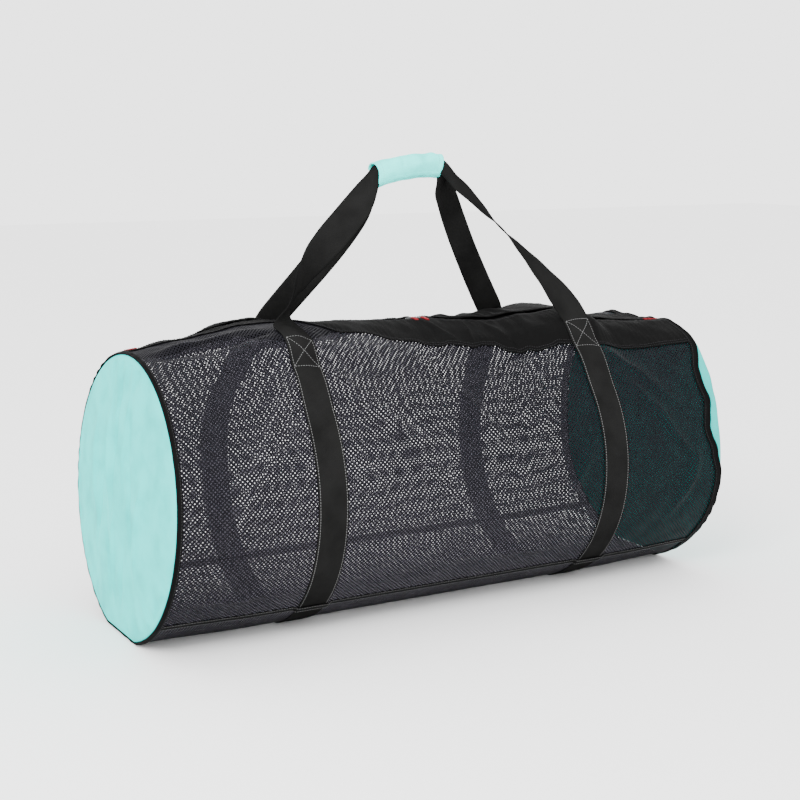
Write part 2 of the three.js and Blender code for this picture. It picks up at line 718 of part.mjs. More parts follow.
// Padded wrap closed round both handles, its free edge lying over its start. Stations
// round its section: place across the webbing, side (+1 front) and rise of the flap.
const wrapSection = [
  { across: 0.60, side: -1, rise: 0 },
  { across: 1.00, side: -1, rise: 0 },
  { across: 1.12, side: -0.3, rise: 0 },
  { across: 1.12, side: 0.3, rise: 0 },
  { across: 1.00, side: 1, rise: 0 },
  { across: 0.50, side: 1, rise: 0 },
  { across: 0.00, side: 1, rise: 0 },
  { across: -0.50, side: 1, rise: 0 },
  { across: -1.00, side: 1, rise: 0 },
  { across: -1.12, side: 0.3, rise: 0 },
  { across: -1.12, side: -0.3, rise: 0 },
  { across: -1.00, side: -1, rise: 0 },
  { across: -0.50, side: -1, rise: 0 },
  { across: 0.00, side: -1, rise: 0 },
  { across: 0.50, side: -1, rise: 1 },
  { across: 0.92, side: -1, rise: 1 },
];
function handleWrap() {
  return loft(wrapSection.map((station) => {
    const shape = (along, height) => {
      const cup = read(gripCup, 'along', along, 'cup');
      const flare = flareAt(along) * mouthSpacing;
      const deep = webbingWall / Math.cos(rad(cup)) + clearance + gripPlay + flare + height;
      const beyond = Math.abs(station.across) > 1 ? Math.sign(station.across) * height : 0;
      const sideways = station.across * halfWebbing * Math.cos(rad(cup)) + beyond;
      const hump = humpOf(cup, Math.min(1, Math.abs(station.across)));
      return gripMiddle(along)
        .addScaledVector(gripWide, sideways)
        .addScaledVector(gripFace, hump + deep * station.side);
    };
    const rise = station.rise * (gripWall + clearance);
    return clothRow(
      gripPlaces,
      (along) => shape(along, rise + gripWall),
      (along) => shape(along, rise),
    );
  }));
}
add('handle_wrap', handleWrap(), turquoise, 0.7);

export default bag;
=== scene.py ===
import bpy
import numpy as np
from mathutils import Matrix, Vector


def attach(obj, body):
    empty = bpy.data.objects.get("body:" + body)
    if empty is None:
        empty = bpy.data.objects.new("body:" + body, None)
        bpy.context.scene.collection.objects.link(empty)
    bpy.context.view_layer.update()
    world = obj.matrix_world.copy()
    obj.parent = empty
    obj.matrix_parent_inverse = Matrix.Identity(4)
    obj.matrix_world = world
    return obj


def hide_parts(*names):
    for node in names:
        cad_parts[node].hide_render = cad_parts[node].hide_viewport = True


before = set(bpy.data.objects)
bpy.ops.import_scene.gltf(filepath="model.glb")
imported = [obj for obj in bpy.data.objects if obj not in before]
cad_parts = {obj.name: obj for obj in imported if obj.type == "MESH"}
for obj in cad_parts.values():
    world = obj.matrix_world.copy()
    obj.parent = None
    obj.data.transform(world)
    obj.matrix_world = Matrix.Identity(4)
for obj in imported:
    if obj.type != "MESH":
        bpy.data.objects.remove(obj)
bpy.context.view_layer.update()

# Sizes in metres: the solids' own, and those of the finer forms.
HALF_LENGTH = 0.425
BODY_RADIUS = 0.190
AXIS_HEIGHT = 0.182
END_CLEARANCE = 0.0036
CAP_DOME = 0.011
RIM_ROUND = 0.010
SEAM_ANGLE = 138.0
LEFT_LEAN = 0.058
RIGHT_LEAN = 0.004
BINDING_WIDTH = 0.011
END_BINDING_WIDTH = {"left": 0.0045, "right": 0.0105}
PIPING_RADIUS = 0.0015
PLACKET_WIDTH = 0.075
SLOT_WIDTH = 0.012
TAPE_WIDTH = 0.034
TAPE_DEPTH = 0.0036
WEBBING_WIDTH = 0.042
WEBBING_WALL = 0.0016
LEFT_STRAP = -0.216
RIGHT_STRAP = 0.228
GRIP_HEIGHT = 0.601
GRIP_LENGTH = 0.102
GRIP_TILT = np.radians(42)
GRIP_ARCH = 0.005
GRIP_RISE = 0.006
GRIP_WALL = 0.0022
GRIP_NARROWING = 0.80
GRIP_PLAY = 0.0021
MOUTH_SPACING = 0.0032
CLEARANCE = 0.0003
NET_PITCH = 0.0039
STRAND_WIDTH = {"net_front": 0.00190, "net_back": 0.00262, "net_base": 0.00250}
STRAND_RISE = 0.0004
NET_SHARE = 0.997
STRIP_START, STRIP_END = -0.992, 0.980
HALF_WEBBING = WEBBING_WIDTH / 2
BASE_STRAP_LENGTH = 0.28

# Lift of the cloth above the plain cylinder, as shares of its radius.
PULLS = {
    "share": [-1, -0.8, -0.56, -0.51, -0.45, -0.33, -0.03, 0.28, 0.42, 0.54, 0.6, 0.7, 0.88, 1],
    "ridge": [0, 0.045, 0.115, 0.12, 0.118, 0.105, 0.08, 0.072, 0.09, 0.105, 0.095, 0.018, 0, 0],
    "crest": [0, 0.05, 0.17, 0.18, 0.135, 0.075, 0.035, 0.05, 0.105, 0.15, 0.14, 0.04, 0.008, 0],
    "flank": [0, 0.01, 0.065, 0.07, 0.05, 0.015, 0, 0, 0.03, 0.065, 0.05, 0.01, 0, 0],
}
END_SHAPE = {
    "angle": [0, 11, 22, 36, 52, 62, 76, 110, 140, 180],
    "left": [-0.016] * 10,
    "right": [-0.04, -0.01, 0.05, 0.08, 0.045, 0.015, -0.01, 0.005, -0.02, -0.02],
}
ZIP_LINE = {"share": [-1, -0.3, 0, 0.3, 1], "angle": [-12, -9, 0, 7, 14]}
# Width of the cloth strips beside the zip, and of the front's part that no net covers.
PLACKET_SHAPE = {
    "share": [-1, -0.42, -0.3, 0, 1],
    "front": [0.42, 0.42, 0.92, 1, 1],
    "front_shown": [0.20, 0.24, 0.92, 1, 1],
    "back": [1, 1, 1, 1, 1],
}
RIGHT_SEAM = {
    "angle": [-180, -95, -60, 0, 38, 54, 64, 77, 88, 98, 180],
    "inset": [0.1, 0.12, 0.3, 0.2, 0.24, 0.62, 0.46, 0.58, 0.32, 0.12, 0.1],
}
LEFT_INSET = 0.1
STRAP_DRIFT = {
    "angle": [0, 25, 45, 70, 180],
    "frontLeft": [0.1, 0.08, 0.02, 0, 0],
    "frontRight": [0, 0, 0, 0, 0],
    "backLeft": [0.95, 0.85, 0.35, 0, 0],
    "backRight": [-0.9, -0.62, -0.18, 0, 0],
}
LEG_TWIST = {
    "along": [0, 0.05, 0.12, 0.28, 0.43, 0.57, 0.71, 0.86, 1],
    "frontLeft": [8, 58, 64, 30, 2, -20, -36, -54, -42],
    "frontRight": [6, 9, 14, 37, 54, 72, 54, 44, 42],
    "backLeft": [2, 1, 0, -4, -10, -18, -28, -38, -42],
    "backRight": [-2, -1, 0, 2, 5, 6, 8, 14, 42],
}
LEG_BOW = {
    "frontLeft": (0.146, -0.066),
    "frontRight": (0.045, 0.0),
    "backLeft": (-0.02, -0.09),
    "backRight": (-0.025, -0.039),
}
ROOT_ROW = {"frontLeft": 2.65, "frontRight": 1.1, "backLeft": 1.0, "backRight": 2.6}
SETTLES_AT = {"frontLeft": 0.7, "frontRight": 0.8, "backLeft": 0.7, "backRight": 0.86}
GRIP_CUP = {"along": [0, 0.5, 1], "cup": [28, 38, 46]}
PLACKET_ROWS = 2
WALL_ROWS = 11

# Soft folds of the net: place along the bag (m), angle from the top, half length and
# half width (m), turn in degrees from the bag's length, and height (m) before FOLD_DEPTH.
FOLD_DEPTH = 1.5
SWELL_HEIGHT = 0.0011
FOLDS = [
    (-0.33, 15, 0.100, 0.006, 4, -0.0060),
    (-0.34, 8, 0.080, 0.009, 2, 0.0040),
    (-0.36, 22, 0.060, 0.007, 20, 0.0035),
    (-0.15, 46, 0.070, 0.008, 50, 0.0050),
    (-0.12, 58, 0.100, 0.009, 38, 0.0045),
    (-0.17, 74, 0.060, 0.008, 62, 0.0040),
    (-0.27, 50, 0.070, 0.008, -52, 0.0050),
    (-0.30, 66, 0.090, 0.009, -40, 0.0046),
    (-0.34, 84, 0.070, 0.008, -58, 0.0040),
    (-0.36, 112, 0.060, 0.009, 50, 0.0036),
    (0.00, 38, 0.110, 0.010, -6, -0.0050),
    (0.03, 66, 0.090, 0.010, 58, 0.0042),
    (-0.05, 84, 0.080, 0.009, 48, 0.0042),
    (0.12, 50, 0.080, 0.008, -46, 0.0050),
    (0.09, 76, 0.080, 0.009, -56, 0.0042),
    (0.15, 98, 0.070, 0.009, -60, 0.0038),
    (0.30, 48, 0.070, 0.009, 40, 0.0046),
    (0.33, 70, 0.080, 0.010, 48, 0.0050),
    (0.37, 98, 0.060, 0.009, -62, 0.0040),
    (-0.05, 108, 0.120, 0.014, 10, -0.0042),
    (0.08, 122, 0.110, 0.009, 2, 0.0030),
    (-0.34, 124, 0.060, 0.008, 2, 0.0030),
    (-0.15, -50, 0.090, 0.010, 46, 0.0048),
    (-0.29, -62, 0.080, 0.009, -50, 0.0046),
    (-0.10, -82, 0.090, 0.010, 58, 0.0042),
    (0.13, -52, 0.090, 0.009, -50, 0.0048),
    (0.10, -80, 0.090, 0.010, -56, 0.0042),
    (0.02, -106, 0.110, 0.013, 10, -0.0040),
    (0.33, -62, 0.080, 0.010, 52, 0.0046),
    (0.35, -96, 0.070, 0.010, -50, 0.0040),
]


def smooth_step(value, low, high):
    """3 t^2 - 2 t^3 of the place t of value between low and high."""
    t = np.clip((value - low) / (high - low), 0, 1)
    return t * t * (3 - 2 * t)


def mix(a, b, t):
    """The value a share t of the way from a to b."""
    return a + (b - a) * t


def read(table, key, place, column):
    """A column of a table at a place between its rows, eased between rows."""
    keys = np.array(table[key], float)
    values = np.array(table[column], float)
    place = np.clip(place, keys[0], keys[-1])
    low = np.clip(np.searchsorted(keys, place, side="right") - 1, 0, len(keys) - 2)
    t = (place - keys[low]) / (keys[low + 1] - keys[low])
    return mix(values[low], values[low + 1], t * t * (3 - 2 * t))


def lift_at(share, angle):
    """Lift at the ridge, crest and flank angles, eased between them, plus the end's shape."""
    a = np.abs(angle)
    ridge, crest, flank = (read(PULLS, "share", share, c) for c in ("ridge", "crest", "flank"))
    lift = mix(ridge, crest, smooth_step(a, 0, 22))
    lift = mix(lift, flank, smooth_step(a, 22, 34))
    lift = mix(lift, 0, smooth_step(a, 34, 54))
    left, right = (read(END_SHAPE, "angle", a, c) for c in ("left", "right"))
    end = np.where(share < 0, left, right) * smooth_step(np.abs(share), 0.66, 1)
    return BODY_RADIUS * (lift + end)


def by_straps(x, start, end):
    """1 within start of a wall strap's middle, easing to 0 at end."""
    near = [1 - smooth_step(np.abs(x - at), start, end) for at in (LEFT_STRAP, RIGHT_STRAP)]
    return np.maximum(*near)


def fold_at(share, angle):
    """Sum of long gaussian ridges and a faint uneven swell, faded out at the ends, at the
    base seams and where the straps hold the net flat."""
    x = share * HALF_LENGTH
    total = np.zeros(np.broadcast(share, angle).shape)
    for place, middle, long, wide, turn, height in FOLDS:
        du = x - place
        dv = np.radians(angle - middle) * BODY_RADIUS
        c, s = np.cos(np.radians(turn)), np.sin(np.radians(turn))
        along, off = du * c + dv * s, dv * c - du * s
        total = total + FOLD_DEPTH * height * np.exp(-(along / long) ** 2 - (off / wide) ** 2)
    swell = np.sin(x * 61 + angle * 0.11) * np.sin(angle * 0.19 + x * 23)
    swell = swell + 0.6 * np.sin(x * 97 - angle * 0.23 + 1.7) * np.sin(angle * 0.31 - x * 37)
    fade = 1 - smooth_step(np.abs(share), 0.88, 0.97)
    fade = fade * (1 - smooth_step(np.abs(angle), 126, 136))
    held = 0.88 * by_straps(x, HALF_WEBBING, HALF_WEBBING + 0.022)
    return (total + SWELL_HEIGHT * swell) * fade * (1 - held)


def seam_inset(share, angle):
    """Distance from the end plane to the seam, from the table on the right end."""
    right = read(RIGHT_SEAM, "angle", angle, "inset")
    return WEBBING_WIDTH * np.where(share < 0, LEFT_INSET, right)


def turn_in(distance):
    """How far a quarter circle of the rim's radius has turned in at a distance from the rim."""
    rest = np.clip(RIM_ROUND - distance, 0, RIM_ROUND)
    return RIM_ROUND - np.sqrt(RIM_ROUND ** 2 - rest ** 2)


def lowest(share):
    """Floor height of the cloth, raised over the base straps and a little at the rims."""
    over_straps = by_straps(share * HALF_LENGTH, 1.01 * HALF_WEBBING, 3 * HALF_WEBBING)
    rims = END_CLEARANCE * smooth_step(np.abs(share), 0.84, 1)
    return (CLEARANCE + STRAND_RISE + WEBBING_WALL) * over_straps + rims


def skin(share, angle):
    """The bag's surface: a cylinder about the axis with lifts and folds, cut by the floor,
    its length leaning in with height and drawn back to the end seams."""
    share, angle = np.broadcast_arrays(np.asarray(share, float), np.asarray(angle, float))
    angle = (angle + 180) % 360 - 180
    side = np.sign(share)
    inset = seam_inset(share, angle) * smooth_step(np.abs(share), 0.6, 1)
    from_rim = (1 - np.abs(share)) * HALF_LENGTH + inset
    radius = BODY_RADIUS + lift_at(share, angle) - turn_in(from_rim) + fold_at(share, angle)
    y = -radius * np.sin(np.radians(angle))
    z = np.maximum(AXIS_HEIGHT + radius * np.cos(np.radians(angle)), lowest(share))
    lean = np.where(share < 0, LEFT_LEAN, RIGHT_LEAN) * (z - AXIS_HEIGHT) * share * share
    x = share * (HALF_LENGTH - lean) - side * inset
    return np.stack([x, y, z], -1)


def unit(v):
    """Vectors divided by their lengths."""
    return v / np.maximum(np.linalg.norm(v, axis=-1, keepdims=True), 1e-12)


def outward(share, angle):
    """Unit normal of the surface, from differences along and round it."""
    share, angle = np.broadcast_arrays(np.asarray(share, float), np.asarray(angle, float))
    low, high = np.clip(share - 0.004, -1, 1), np.clip(share + 0.004, -1, 1)
    along = skin(high, angle) - skin(low, angle)
    around = skin(share, angle + 0.5) - skin(share, angle - 0.5)
    return unit(np.cross(around, along))


def over(share, angle, height):
    """The place at a height above the surface."""
    return skin(share, angle) + outward(share, angle) * np.asarray(height)[..., None]


def degrees_of(width):
    """Angle that a width takes up on the plain cylinder."""
    return np.degrees(width / BODY_RADIUS)


def placket_at(share, side):
    """Width of the plain strip as the solids have it, which the wall rows follow."""
    return PLACKET_WIDTH * read(PLACKET_SHAPE, "share", share, "front" if side > 0 else "back")


def row_angle(share, row, side):
    """Angle of a row of the wall: rows 0 to 2 lie under the placket, 11 is the base seam."""
    middle = read(ZIP_LINE, "share", share, "angle")
    slot = degrees_of(SLOT_WIDTH / 2)
    edge = slot + degrees_of(placket_at(share, side))
    near = middle + side * mix(slot, edge, row / PLACKET_ROWS)
    t = (row - PLACKET_ROWS) / (WALL_ROWS - PLACKET_ROWS)
    far = mix(middle + side * edge, side * SEAM_ANGLE, t)
    return np.where(row <= PLACKET_ROWS, near, far)


def strip_width(share, side):
    """Width from the table, with an uneven edge where the straps gather the cloth."""
    gathered = smooth_step(share, -0.28, -0.05) * (1 - smooth_step(share, 0.40, 0.52))
    uneven = 0.045 * np.sin(share * 21 + 0.6) + 0.030 * np.sin(share * 47 + 2)
    uneven = uneven + 0.012 * np.sin(share * 110)
    table = read(PLACKET_SHAPE, "share", share, "front_shown" if side > 0 else "back")
    return PLACKET_WIDTH * (table + gathered * uneven)


def strip_angle(share, across, side):
    """Angle of a place across the plain cloth strip, 0 at the zip and 1 at its outer edge."""
    middle = read(ZIP_LINE, "share", share, "angle")
    return middle + side * degrees_of(SLOT_WIDTH / 2 + across * strip_width(share, side))


def smoothed(values, passes):
    """Repeated (1 2 1)/4 averages along the first axis, with both ends kept."""
    for _ in range(passes):
        inner = (values[:-2] + 2 * values[1:-1] + values[2:]) / 4
        values = np.concatenate([values[:1], inner, values[-1:]])
    return values


def make_mesh(name, points, faces, material, uv=None):
    """Puts arrays of points and of three or four cornered faces into a new object."""
    mesh = bpy.data.meshes.new(name)
    points = np.asarray(points, np.float32).reshape(-1, 3)
    faces = [np.asarray(f, np.int32) for f in faces if len(f)]
    corners = np.concatenate([f.ravel() for f in faces])
    totals = np.concatenate([np.full(len(f), f.shape[1], np.int32) for f in faces])
    starts = np.concatenate([[0], np.cumsum(totals)[:-1]]).astype(np.int32)
    mesh.vertices.add(len(points))
    mesh.vertices.foreach_set("co", points.ravel())
    mesh.loops.add(len(corners))
    mesh.loops.foreach_set("vertex_index", corners)
    mesh.polygons.add(len(totals))
    mesh.polygons.foreach_set("loop_start", starts)
    mesh.polygons.foreach_set("loop_total", totals)
    mesh.update(calc_edges=True)
    mesh.polygons.foreach_set("use_smooth", np.ones(len(totals), bool))
    if uv is not None:
        layer = mesh.uv_layers.new(name="Cloth")
        layer.data.foreach_set("uv", np.asarray(uv, np.float32).reshape(-1, 2)[corners].ravel())
    mesh.validate()
    mesh.materials.append(material)
    piece = bpy.data.objects.new(name, mesh)
    bpy.context.scene.collection.objects.link(piece)
    return piece


def grid_quads(rows, columns, wrap_rows=False, wrap_columns=False):
    """Corner numbers of the cells of a grid, closed on itself where asked."""
    i = np.arange(rows if wrap_rows else rows - 1)[:, None]
    j = np.arange(columns if wrap_columns else columns - 1)[None, :]
    a = i * columns + j
    b = i * columns + (j + 1) % columns
    c = ((i + 1) % rows) * columns + (j + 1) % columns
    d = ((i + 1) % rows) * columns + j
    return np.stack([a, b, c, d], -1).reshape(-1, 4)


def grid_normals(points):
    """Unit cross product of the differences along the rows and the columns of a grid."""
    return unit(np.cross(np.gradient(points, axis=0), np.gradient(points, axis=1)))


def facing_out(points, faces):
    """The faces of a closed form, turned over where the sum of a . (b x c) over their
    triangles, six times the volume that they enclose, comes out negative."""
    points = points - points.mean(0)
    halves = [f[:, corners] for f in faces for corners in ([0, 1, 2], [0, 2, -1])]
    a, b, c = (points[np.concatenate(halves)[:, k]] for k in (0, 1, 2))
    return [f[:, ::-1] for f in faces] if (a * np.cross(b, c)).sum() < 0 else faces


def cloth(name, middle, normal, wall, material, uv, closed=False, edge=0.5):
    """A thin closed wall about a grid of middle points: an outer and an inner sheet, with
    edges that thin out with the sixth power of the place across."""
    rows, columns = middle.shape[:2]
    s = np.linspace(-1, 1, columns)
    half = wall / 2 * (edge + (1 - edge) * (1 - s ** 6))[None, :, None]
    ring = np.concatenate([middle + normal * half, (middle - normal * half)[:, ::-1]], 1)
    ring_uv = np.concatenate([uv, uv[:, ::-1]], 1)
    faces = [grid_quads(rows, 2 * columns, wrap_rows=closed, wrap_columns=True)]
    if not closed:
        j = np.arange(columns - 1)
        near = np.stack([j, 2 * columns - 1 - j, 2 * columns - 2 - j, j + 1], -1)
        last = (rows - 1) * 2 * columns
        faces.append(np.concatenate([near, (last + near)[:, ::-1]]))
    points = ring.reshape(-1, 3)
    return make_mesh(name, points, facing_out(points, faces), material, ring_uv)


def tube(name, path, normal, radius, material, sides=10):
    """A closed round tube: circles of a given radius about each point of a closed path."""
    ahead = unit(np.roll(path, -1, 0) - np.roll(path, 1, 0))
    across = unit(np.cross(normal, ahead))
    up = np.cross(ahead, across)
    turn = np.linspace(0, 2 * np.pi, sides, endpoint=False)[None, :, None]
    ring = path[:, None] + radius * (across[:, None] * np.cos(turn) + up[:, None] * np.sin(turn))
    points = ring.reshape(-1, 3)
    faces = facing_out(points, [grid_quads(len(path), sides, True, True)])
    run = np.concatenate([[0], np.cumsum(np.linalg.norm(np.diff(path, axis=0), axis=1))])
    v = np.linspace(0, 2 * np.pi * np.max(radius), sides)
    uv = np.stack(np.broadcast_arrays(run[:, None], v[None, :]), -1)
    return make_mesh(name, points, faces, material, uv)


# A grain has two points and two square rings: length, width and height as shares.
GRAIN = np.array(
    [[-0.5, 0, 0], [0.5, 0, 0]]
    + [[x, y, z] for x in (-0.3, 0.3) for y, z in ((0.5, 0), (0, 0.5), (-0.5, 0), (0, -0.5))]
)
GRAIN_TRIANGLES = np.array(
    [[0, 2 + (k + 1) % 4, 2 + k] for k in range(4)]
    + [[1, 6 + k, 6 + (k + 1) % 4] for k in range(4)]
)
GRAIN_QUADS = np.array([[2 + k, 2 + (k + 1) % 4, 6 + (k + 1) % 4, 6 + k] for k in range(4)])


def grains(name, places, ahead, up, size, material):
    """Many small rounded grains, such as stitches or zip teeth, each turned by its own
    ahead and up directions and scaled by size = (length, width, height)."""
    across = unit(np.cross(up, ahead))
    up = np.cross(ahead, across)
    shape = GRAIN * np.array(size)
    points = (
        places[:, None]
        + ahead[:, None] * shape[None, :, :1]
        + across[:, None] * shape[None, :, 1:2]
        + up[:, None] * shape[None, :, 2:]
    )
    start = (np.arange(len(places)) * len(GRAIN))[:, None, None]
    faces = [(GRAIN_TRIANGLES + start).reshape(-1, 3), (GRAIN_QUADS + start).reshape(-1, 4)]
    points = points.reshape(-1, 3)
    return make_mesh(name, points, facing_out(points, faces), material)


def stitch_line(path, normal, pitch):
    """Places, directions and normals at equal steps along a line of points."""
    steps = np.linalg.norm(np.diff(path, axis=0), axis=1)
    run = np.concatenate([[0], np.cumsum(steps)])
    count = max(int(run[-1] / pitch), 1)
    at = (np.arange(count) + 0.5) * run[-1] / count

    def along(values, where):
        return np.stack([np.interp(where, run, values[:, k]) for k in range(3)], -1)

    ahead = unit(along(path, at + pitch / 4) - along(path, at - pitch / 4))
    return along(path, at), ahead, unit(along(normal, at))


def stitches(name, lines, material, pitch=0.0036, size=(0.0029, 0.0007, 0.0006)):
    """All stitch lines of one piece as one object."""
    parts = [stitch_line(path, normal, pitch) for path, normal in lines]
    places, ahead, up = (np.concatenate([p[k] for p in parts]) for k in range(3))
    return grains(name, places, ahead, up, size, material)


# Camera first: the place and direction worked out from the photograph.
YAW = np.radians(29.8)
DIP = np.radians(10.05)
CAMERA_PLACE = (-1.0503, -1.8140, 0.6447)
FOCAL_LENGTH = 67.5
ahead = np.array([np.sin(YAW) * np.cos(DIP), np.cos(YAW) * np.cos(DIP), -np.sin(DIP)])
right = np.array([np.cos(YAW), -np.sin(YAW), 0])
upward = np.cross(right, ahead)
camera_data = bpy.data.cameras.new("camera")
camera_data.lens = FOCAL_LENGTH
camera_data.sensor_width = 36
camera_data.clip_end = 50
camera = bpy.data.objects.new("camera", camera_data)
turn = Matrix([[right[k], upward[k], -ahead[k]] for k in range(3)]).to_4x4()
camera.matrix_world = Matrix.Translation(Vector(CAMERA_PLACE)) @ turn
bpy.context.scene.collection.objects.link(camera)
bpy.context.scene.camera = camera


# Materials. Every cloth takes its pattern from the weave group, on its own UV in metres.
def new_group(name, inputs, outputs):
    """An empty shader node group with named number sockets, and its entry and exit."""
    group = bpy.data.node_groups.new(name, "ShaderNodeTree")
    for label, value in inputs.items():
        socket = group.interface.new_socket(label, in_out="INPUT", socket_type="NodeSocketFloat")
        socket.default_value = value
    for label in outputs:
        group.interface.new_socket(label, in_out="OUTPUT", socket_type="NodeSocketFloat")
    entry, leave = group.nodes.new("NodeGroupInput"), group.nodes.new("NodeGroupOutput")
    return group, entry.outputs, leave.inputs


def noise_in(group, detail):
    """A noise texture on object coordinates, placed in a group."""
    coordinates = group.nodes.new("ShaderNodeTexCoord")
    noise = group.nodes.new("ShaderNodeTexNoise")
    noise.inputs["Detail"].default_value = detail
    group.links.new(coordinates.outputs["Object"], noise.inputs["Vector"])
    return noise


def weave_group():
    """Height = |sin| across the ribs to the power 0.6, times |sin| along them, with every
    other rib shifted by half a thread. Shade = a share of the height, painted shade that darkens the
    grooves between threads, plus broad noise for uneven tone."""
    threads = {"Threads along": 900.0, "Threads across": 900.0, "Uneven": 0.25}
    group, given, result = new_group("weave", threads, ["Height", "Shade"])
    place = group.nodes.new("ShaderNodeUVMap")
    place.uv_map = "Cloth"
    parts = group.nodes.new("ShaderNodeSeparateXYZ")
    group.links.new(place.outputs["UV"], parts.inputs[0])

    def math(operation, a, b=None):
        node = group.nodes.new("ShaderNodeMath")
        node.operation = operation
        for k, value in enumerate((a, b)):
            if isinstance(value, (int, float)):
                node.inputs[k].default_value = value
            elif value is not None:
                group.links.new(value, node.inputs[k])
        return node.outputs[0]

    def phase(axis, label):
        return math("MULTIPLY", math("MULTIPLY", parts.outputs[axis], given[label]), np.pi)

    along, across = phase("X", "Threads along"), phase("Y", "Threads across")
    rib = math("POWER", math("ABSOLUTE", math("SINE", across)), 0.6)
    shift = math("MULTIPLY", math("FLOOR", math("DIVIDE", across, np.pi)), np.pi / 2)
    thread = math("ABSOLUTE", math("SINE", math("ADD", along, shift)))
    height = math("MULTIPLY", rib, math("ADD", math("MULTIPLY", thread, 0.5), 0.5))
    noise = noise_in(group, 5)
    noise.inputs["Scale"].default_value = 26
    uneven = math("MULTIPLY", math("SUBTRACT", noise.outputs["Fac"], 0.5), given["Uneven"])
    # Painted shade: the colour is darker where the threads lie low, in the grooves.
    shade = math("ADD", math("MULTIPLY", height, 0.35), 0.6)
    group.links.new(height, result["Height"])
    group.links.new(math("ADD", shade, math("MULTIPLY", uneven, 2.0)), result["Shade"])
    return group


def grain_group():
    """Noise on object coordinates in metres at a given scale, as one value from 0 to 1."""
    group, given, result = new_group("grain", {"Scale": 300.0}, ["Value"])
    noise = noise_in(group, 4)
    group.links.new(given["Scale"], noise.inputs["Scale"])
    group.links.new(noise.outputs["Fac"], result["Value"])
    return group


WEAVE = weave_group()
GRAIN_NOISE = grain_group()


def finish(name, group, given, tone, relief, colours, roughness, specular, inner=None):
    """A material: colour from dark to light by the group's tone output, bump from its
    relief = (output, depth, strength), and, where given, a paler colour painted on back faces as
    painted light."""
    material = bpy.data.materials.new(name)
    material.use_nodes = True
    nodes, links = material.node_tree.nodes, material.node_tree.links
    shader = nodes["Principled BSDF"]
    pattern = nodes.new("ShaderNodeGroup")
    pattern.node_tree = group
    for label, value in given.items():
        pattern.inputs[label].default_value = value
    dark, light = (c if isinstance(c, tuple) else (c, c, c) for c in colours)
    colour = nodes.new("ShaderNodeMix")
    colour.data_type = "RGBA"
    colour.inputs["A"].default_value = (*dark, 1)
    colour.inputs["B"].default_value = (*light, 1)
    links.new(pattern.outputs[tone], colour.inputs["Factor"])
    # Painted light: back faces take the paler inner colour, standing in for light falling on them.
    if inner:
        face = nodes.new("ShaderNodeNewGeometry")
        sides = nodes.new("ShaderNodeMix")
        sides.data_type = "RGBA"
        sides.inputs["B"].default_value = (*inner, 1)
        links.new(face.outputs["Backfacing"], sides.inputs["Factor"])
        links.new(colour.outputs["Result"], sides.inputs["A"])
        colour = sides
    links.new(colour.outputs["Result"], shader.inputs["Base Color"])
    bump = nodes.new("ShaderNodeBump")
    output, depth, strength = relief
    bump.inputs["Distance"].default_value = depth
    bump.inputs["Strength"].default_value = strength
    links.new(pattern.outputs[output], bump.inputs["Height"])
    links.new(bump.outputs["Normal"], shader.inputs["Normal"])
    shader.inputs["Roughness"].default_value = roughness
    shader.inputs["Specular IOR Level"].default_value = specular
    return material


def fabric(name, colours, threads, depth, specular, roughness=0.6, uneven=0.25):
    """Cloth of so many threads a metre, along and across."""
    given = {"Threads along": threads[0], "Threads across": threads[1], "Uneven": uneven}
    return finish(
        name, WEAVE, given, "Shade", ("Height", depth, 0.8), colours, roughness, specular
    )


def speckled(name, colours, scale, roughness, specular, inner=None):
    """Cord, thread or moulded plastic, with fine noise in its colour and surface."""
    return finish(
        name, GRAIN_NOISE, {"Scale": scale}, "Value", ("Value", 0.0002, 0.5),
        colours, roughness, specular, inner,
    )


# Painted light: the net cord's back faces take a pale grey-violet, far lighter than the dark cord,
# standing in for light on the inside of the bag.
NET_CORD = speckled(
    "net_cord", ((0.0025, 0.0024, 0.0034), (0.0070, 0.0066, 0.0095)), 90, 0.55, 0.05,
    inner=(0.26, 0.245, 0.29),
)
FINE = (1100, 1100)
BLACK_CLOTH = fabric("black_cloth", (0.0010, 0.0048), (900, 900), 0.0002, 0.01)
WEBBING = fabric(
    "webbing", (0.0018, (0.0100, 0.0100, 0.0098)), (420, 620), 0.0004, 0.0, uneven=0.6
)
CAP_CLOTH = {
    "left": fabric(
        "turquoise_cloth", ((0.001, 0.36, 0.335), (0.004, 0.58, 0.535)),
        FINE, 0.00015, 0.06, 0.55, 1.0,
    ),
    # Painted shade: the right cap is the same turquoise cloth made darker, standing in for the shade
    # on the side away from the key light.
    "right": fabric(
        "turquoise_cloth_painted_shade", ((0.001, 0.27, 0.245), (0.003, 0.43, 0.39)),
        FINE, 0.00015, 0.06, 0.55, 0.8,
    ),
}
GRIP_CLOTH = fabric(
    "grip_cloth", ((0.02, 0.46, 0.41), (0.06, 0.84, 0.76)), FINE, 0.00015, 0.1, 0.5, 1.3
)
# The caps' inner faces take a darker teal than their outer faces.
CAP_INSIDE_DARKER = fabric(
    "cap_inside_darker_teal", ((0.001, 0.078, 0.068), (0.004, 0.155, 0.135)),
    FINE, 0.00015, 0.05, uneven=1.4,
)
